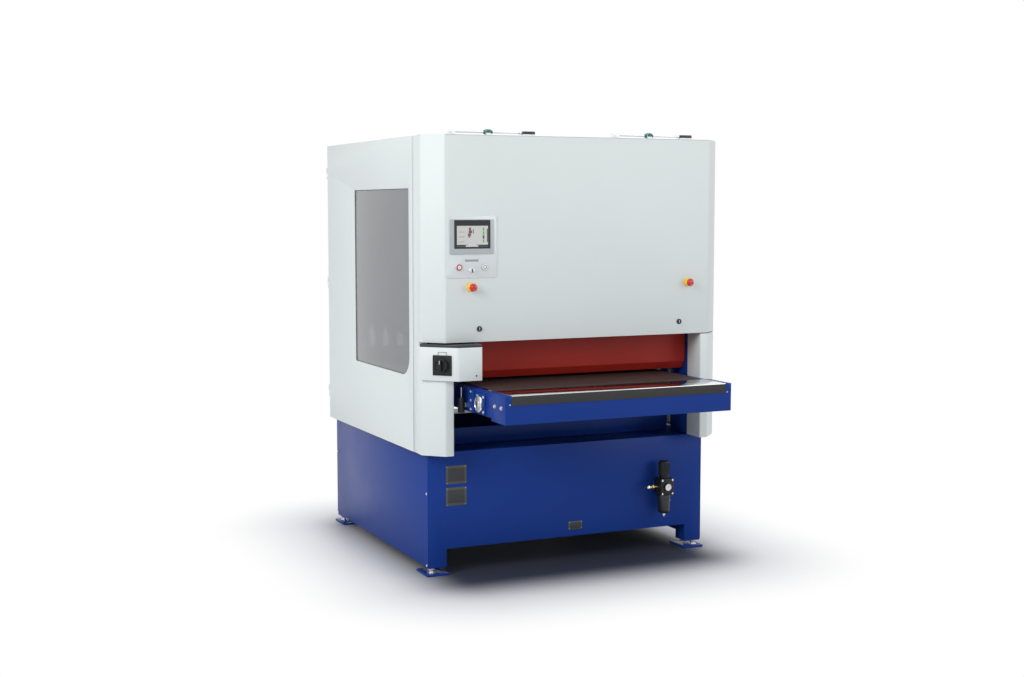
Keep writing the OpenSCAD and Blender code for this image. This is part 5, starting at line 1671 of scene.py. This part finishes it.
@dataclass
class FrontFittings(Workshop):
    """The air service unit and the blank plates on the front of the base."""

    front: float = -0.667
    x: float = 0.483
    y: float = -0.725
    z: float = 0.294

    def build(self) -> None:
        """Model the service unit, its knob and the plates."""
        self.unit()
        self.knob()
        self.plates()

    def unit(self) -> None:
        """Model the filter regulator: body, bowl, drain, gauge, bracket and fittings."""
        x, y, z = self.x, self.y, self.z
        body = Bench.block("unit_body", (x - 0.037, y - 0.035, z),
            (x + 0.037, y + 0.035, z + 0.082), 0.006, 3)
        waist = Bench.turn("unit_neck", (x, y, z + 0.0815), Axis.Z,
            [(0, 0), (0.022, 0), (0.022, 0.009), (0.01, 0.0104), (0.01, 0.064), (0, 0.064)])
        bowl = Bench.turn("unit_bowl", (x, y, z - 0.094), Axis.Z,
            [(0, 0), (0.013, 0.0005), (0.022, 0.004), (0.028, 0.011), (0.0305, 0.02), (0.031, 0.07),
            (0.033, 0.072), (0.033, 0.0935), (0, 0.0935)], 56)
        drain = Bench.turn("unit_drain", (x, y, z - 0.108), Axis.Z,
            [(0, 0), (0.004, 0), (0.0044, 0.006), (0.0078, 0.0065), (0.008, 0.0145), (0, 0.0145)],
            32)
        bracket = Bench.block("unit_bracket", (x - 0.023, y + 0.03, z + 0.016),
            (x + 0.023, self.front, z + 0.066), 0.002)
        dial = Bench.turn("unit_gauge", (x, y - 0.0345, z + 0.041), Axis.Y,
            [(0, 0), (0.019, 0), (0.02, 0.001), (0.02, 0.009), (0.019, 0.0103), (0.0176, 0.0105),
            (0.017, 0.009), (0, 0.009)], flip=True)
        face = Bench.turn("gauge_face", (x, y - 0.0432, z + 0.041), Axis.Y,
            rectangle((0, 0), (0.0166, 0.0004)), 40, flip=True)
        hand = Bench.block("gauge_hand", (x - 0.0006, y - 0.0441, z + 0.041),
            (x + 0.0006, y - 0.0436, z + 0.053), 0.0001)
        Bench.turn_about(hand, (x, y, z + 0.041), 0.7, Axis.Y)
        cap = Bench.turn("unit_light", (x + 0.013, y - 0.031, z - 0.024), Axis.Y,
            [(0, 0), (0.005, 0), (0.005, 0.003), (0.004, 0.004), (0, 0.004)], 24, flip=True)
        parts = [BLACK.on(body), BLACK.on(waist), BOWL.on(bowl), ZINC.on(drain), ZINC.on(bracket),
            BLACK.on(dial), LIGHT.on(face), BLACK.on(hand), BLUE_CAP.on(cap)]
        zf = z + 0.041
        nipple = Bench.turn("inlet", (x - 0.0365, y, zf), Axis.X,
            [(0.0, 0), (0.0105, 0), (0.0105, 0.008), (0.007, 0.009), (0.007, 0.03), (0.0085, 0.031),
            (0.0085, 0.038), (0.0075, 0.04), (0.0075, 0.061), (0.0, 0.061)], 32, flip=True)
        nut = Bench.rod("inlet_nut", (x - 0.056, y, zf), Axis.X, -0.014, 0.0118, 0.001, 6)
        tip = Bench.turn("inlet_tip", (x - 0.084, y, zf), Axis.X,
            [(0.0076, 0), (0.0118, 0), (0.012, 0.0015), (0.012, 0.012), (0.0112, 0.0138),
            (0.0076, 0.0138), (0.0076, 0)], 32, flip=True)
        parts += [BRASS.on(nipple), BRASS.on(nut), BRIGHT.on(tip)]
        for dx, dz in ((-0.028, 0.074), (0.028, 0.074), (-0.028, 0.008), (0.028, 0.008)):
            screw = Bench.bolt("unit_screw", (x + dx, y - 0.035, z + dz), Axis.Y, -1, 0.004, 0.003)
            parts.append(BRIGHT.on(screw))
        for zr in (z + 0.0015, z + 0.079):
            ring = Bench.turn("unit_ring", (x, y, zr), Axis.Z,
                [(0.03, -0.0015), (0.0335, -0.001), (0.0335, 0.001), (0.03, 0.0015),
                (0.03, -0.0015)])
            parts.append(BLACK.on(ring))
        self.assemble("service_unit_assembly", parts, Body.FRAME, "black_plastic", None,
            "service_unit")

    def knob(self) -> None:
        """Model the regulator's ribbed knob."""
        x, y, z = self.x, self.y, self.z + 0.0923
        core = Bench.turn("knob_core", (x, y, z), Axis.Z, [(0.0104, 0), (0.0262, 0),
            (0.0266, 0.003), (0.0262, 0.066), (0.024, 0.0715), (0.02, 0.073), (0, 0.073)])
        parts = [core]
        for k in range(24):
            rib = Bench.block("rib", (x + 0.0255, y - 0.0014, z + 0.006),
                (x + 0.0279, y + 0.0014, z + 0.064), 0.0006, 1)
            Bench.turn_about(rib, (x, y, z), math.tau * k / 24, Axis.Z)
            parts.append(rib)
        self.assemble("regulator_knob_ribbed", parts, Body.REGULATOR, "black_plastic", BLACK,
            "regulator_knob")

    def plates(self) -> None:
        """Model the blank plates with a raised rim and corner rivets."""
        parts = []
        for x, z, w, h in ((-0.588, 0.362, 0.102, 0.085), (-0.588, 0.463, 0.102, 0.085),
                (0.028, 0.171, 0.073, 0.04)):
            outline = rectangle((x - w / 2, z - h / 2), (x + w / 2, z + h / 2))
            plate = Bench.slab("blank_plate", outline, Axis.Y, self.front, -0.0012, 0.0003, 0.003)
            field_ = Bench.slab("plate_field", rectangle((x - w * 0.4, z - h * 0.36),
                (x + w * 0.4, z + h * 0.36)), Axis.Y, self.front - 0.0011, -0.0003, 0.0001, 0.002)
            parts += [PLATE.on(plate), LIP.on(field_)]
            for sx, sz in CORNERS:
                rivet = Bench.turn("rivet", (x + sx * (w / 2 - 0.005), self.front - 0.001,
                    z + sz * (h / 2 - 0.005)), Axis.Y, [(0, 0), (0.0016, 0), (0.0012, 0.0004),
                    (0, 0.0005)], 16, flip=True)
                parts.append(ZINC.on(rivet))
        self.assemble("blank_plates", parts, Body.FRAME, "plate_grey", None, "type_plates")


# Studio


@dataclass
class Studio:
    """The pale floor, soft lights and the camera at the photograph's angle."""

    eye: Point = (-3.1306, -6.8065, 1.6817)
    pitch: float = 84.92
    yaw: float = -24.71
    lens: float = 51.39

    def build(self) -> None:
        """Set up the floor, the lights, the world and the camera."""
        self.camera()
        self.floor()
        self.world()
        for name, place, aim, size, power in (
                ("key", (-6.0, -3.4, 4.0), (-0.4, -0.4, 1.1), 3.4, 240.0),
                ("top", (0.5, -0.2, 5.4), (0.0, 0.0, 0.0), 4.0, 66.0),
                ("fill", (4.5, -5.5, 2.6), (0.3, -0.4, 1.0), 3.2, 78.0),
                ("back", (1.9, 5.4, 4.8), (0.0, 0.3, 1.0), 3.0, 60.0)):
            self.lamp(name, place, aim, size, power)

    def camera(self) -> None:
        """Place the camera where the photograph was taken from."""
        data = bpy.data.cameras.new("camera")
        data.lens = self.lens
        data.sensor_width = 36.0
        data.clip_end = 200.0
        camera = bpy.data.objects.new("camera", data)
        camera.location = self.eye
        camera.rotation_euler = (math.radians(self.pitch), 0.0, math.radians(self.yaw))
        bpy.context.scene.collection.objects.link(camera)
        bpy.context.scene.camera = camera

    def lamp(self, name: str, place: Point, aim: Point, size: float, power: float) -> None:
        """Hang a square soft light.

        Args:
            name: its name.
            place: where it hangs.
            aim: the point that it faces.
            size: its side.
            power: its power in watts.
        """
        data = bpy.data.lights.new(name, "AREA")
        data.size = size
        data.energy = power
        lamp = bpy.data.objects.new(name, data)
        lamp.location = place
        away = Vector(aim) - Vector(place)
        lamp.rotation_euler = away.to_track_quat("-Z", "Y").to_euler()
        bpy.context.scene.collection.objects.link(lamp)

    def floor(self) -> None:
        """Lay a pale floor with a painted shadow under the machine, fading to white in the
        distance.
        """
        Bench.clear()
        bpy.ops.mesh.primitive_plane_add(size=60.0, location=(0, 0, -0.0006))
        floor = bpy.context.object
        floor.name = "floor"
        material = bpy.data.materials.new("pale_floor")
        nodes = Nodes.of(material)
        nodes.feed(nodes.shader, {"Roughness": 0.6})
        fade = nodes.add("MapRange", {"Value": self.shade(nodes), "From Min": 0.0, "From Max": 0.9},
            interpolation_type="SMOOTHSTEP")
        rays = nodes.add("LightPath").outputs
        seen = nodes.maths("MAXIMUM", rays["Is Camera Ray"], rays["Is Glossy Ray"])
        part = nodes.maths("MULTIPLY", fade.outputs["Result"], seen)
        glow = nodes.add("Emission", {"Color": (1.0, 1.0, 1.0, 1.0)})
        mix = nodes.add("MixShader", {"Fac": part, 1: nodes.shader.outputs["BSDF"],
            2: glow.outputs["Emission"]})
        nodes.feed(nodes.tree.nodes["Material Output"], {"Surface": mix.outputs["Shader"]})
        floor.data.materials.append(material)

    def shade(self, nodes: Nodes) -> Socket:
        """Paint the machine's shadow into the floor's colour, darker where the base and the table
        stand over it.

        Args:
            nodes: the floor material's nodes.

        Returns:
            The distance of a point of the floor from the rectangle under the machine.
        """
        reach = nodes.place
        for operation, value in (("ADD", (0.0, 0.15, 0.0)), ("ABSOLUTE", None),
                ("SUBTRACT", (0.58, 0.67, 0.0)), ("MAXIMUM", (0.0, 0.0, 0.0)), ("LENGTH", None)):
            step = nodes.add("VectorMath", {0: reach, **({1: value} if value else {})},
                operation=operation)
            reach = step.outputs["Value" if operation == "LENGTH" else "Vector"]
        near = nodes.add("MapRange", {"Value": reach, "From Max": 0.4},
            interpolation_type="SMOOTHSTEP")
        # Painted shadow: the floor's colour runs from near black under the base and table to pale
        # grey 0.4 m out.
        colour = nodes.ramp(near.outputs["Result"], (0.03, 0.036, 0.06), (0.62, 0.625, 0.66))
        nodes.feed(nodes.shader, {"Base Color": colour})
        return reach

    def world(self) -> None:
        """Surround the scene with soft light, and with white where the camera looks."""
        world = bpy.data.worlds.new("studio")
        bpy.context.scene.world = world
        world.use_nodes = True
        world.node_tree.nodes.clear()
        nodes = Nodes(world.node_tree)
        rays = nodes.add("LightPath").outputs
        seen = nodes.maths("MAXIMUM", rays["Is Camera Ray"], rays["Is Transmission Ray"])
        shown = nodes.maths("MAXIMUM", seen, rays["Is Glossy Ray"])
        soft = nodes.add("Background", {"Color": (0.96, 0.98, 1.0, 1.0), "Strength": 0.62})
        white = nodes.add("Background", {"Color": (1.0, 1.0, 1.0, 1.0), "Strength": 1.0})
        mix = nodes.add("MixShader", {"Fac": shown, 1: soft.outputs["Background"],
            2: white.outputs["Background"]})
        nodes.add("OutputWorld", {"Surface": mix.outputs["Shader"]})
        bpy.context.scene.view_settings.view_transform = "Standard"


def main() -> None:
    """Load the frame, set up the studio and build every sub-assembly."""
    logging.basicConfig(level=logging.INFO, format="%(name)s: %(message)s")
    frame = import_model()
    made: list[str] = []
    Studio().build()
    for kind in (Base, Portal, SwitchBox, Hood, Controls, Cladding, Conveyor, Heads, FrontFittings):
        kind(frame, made).build()
        LOG.info("%s: %d pieces so far", kind.__name__, len(made))
    Bench.clear()


if __name__ == "__main__":
    main()
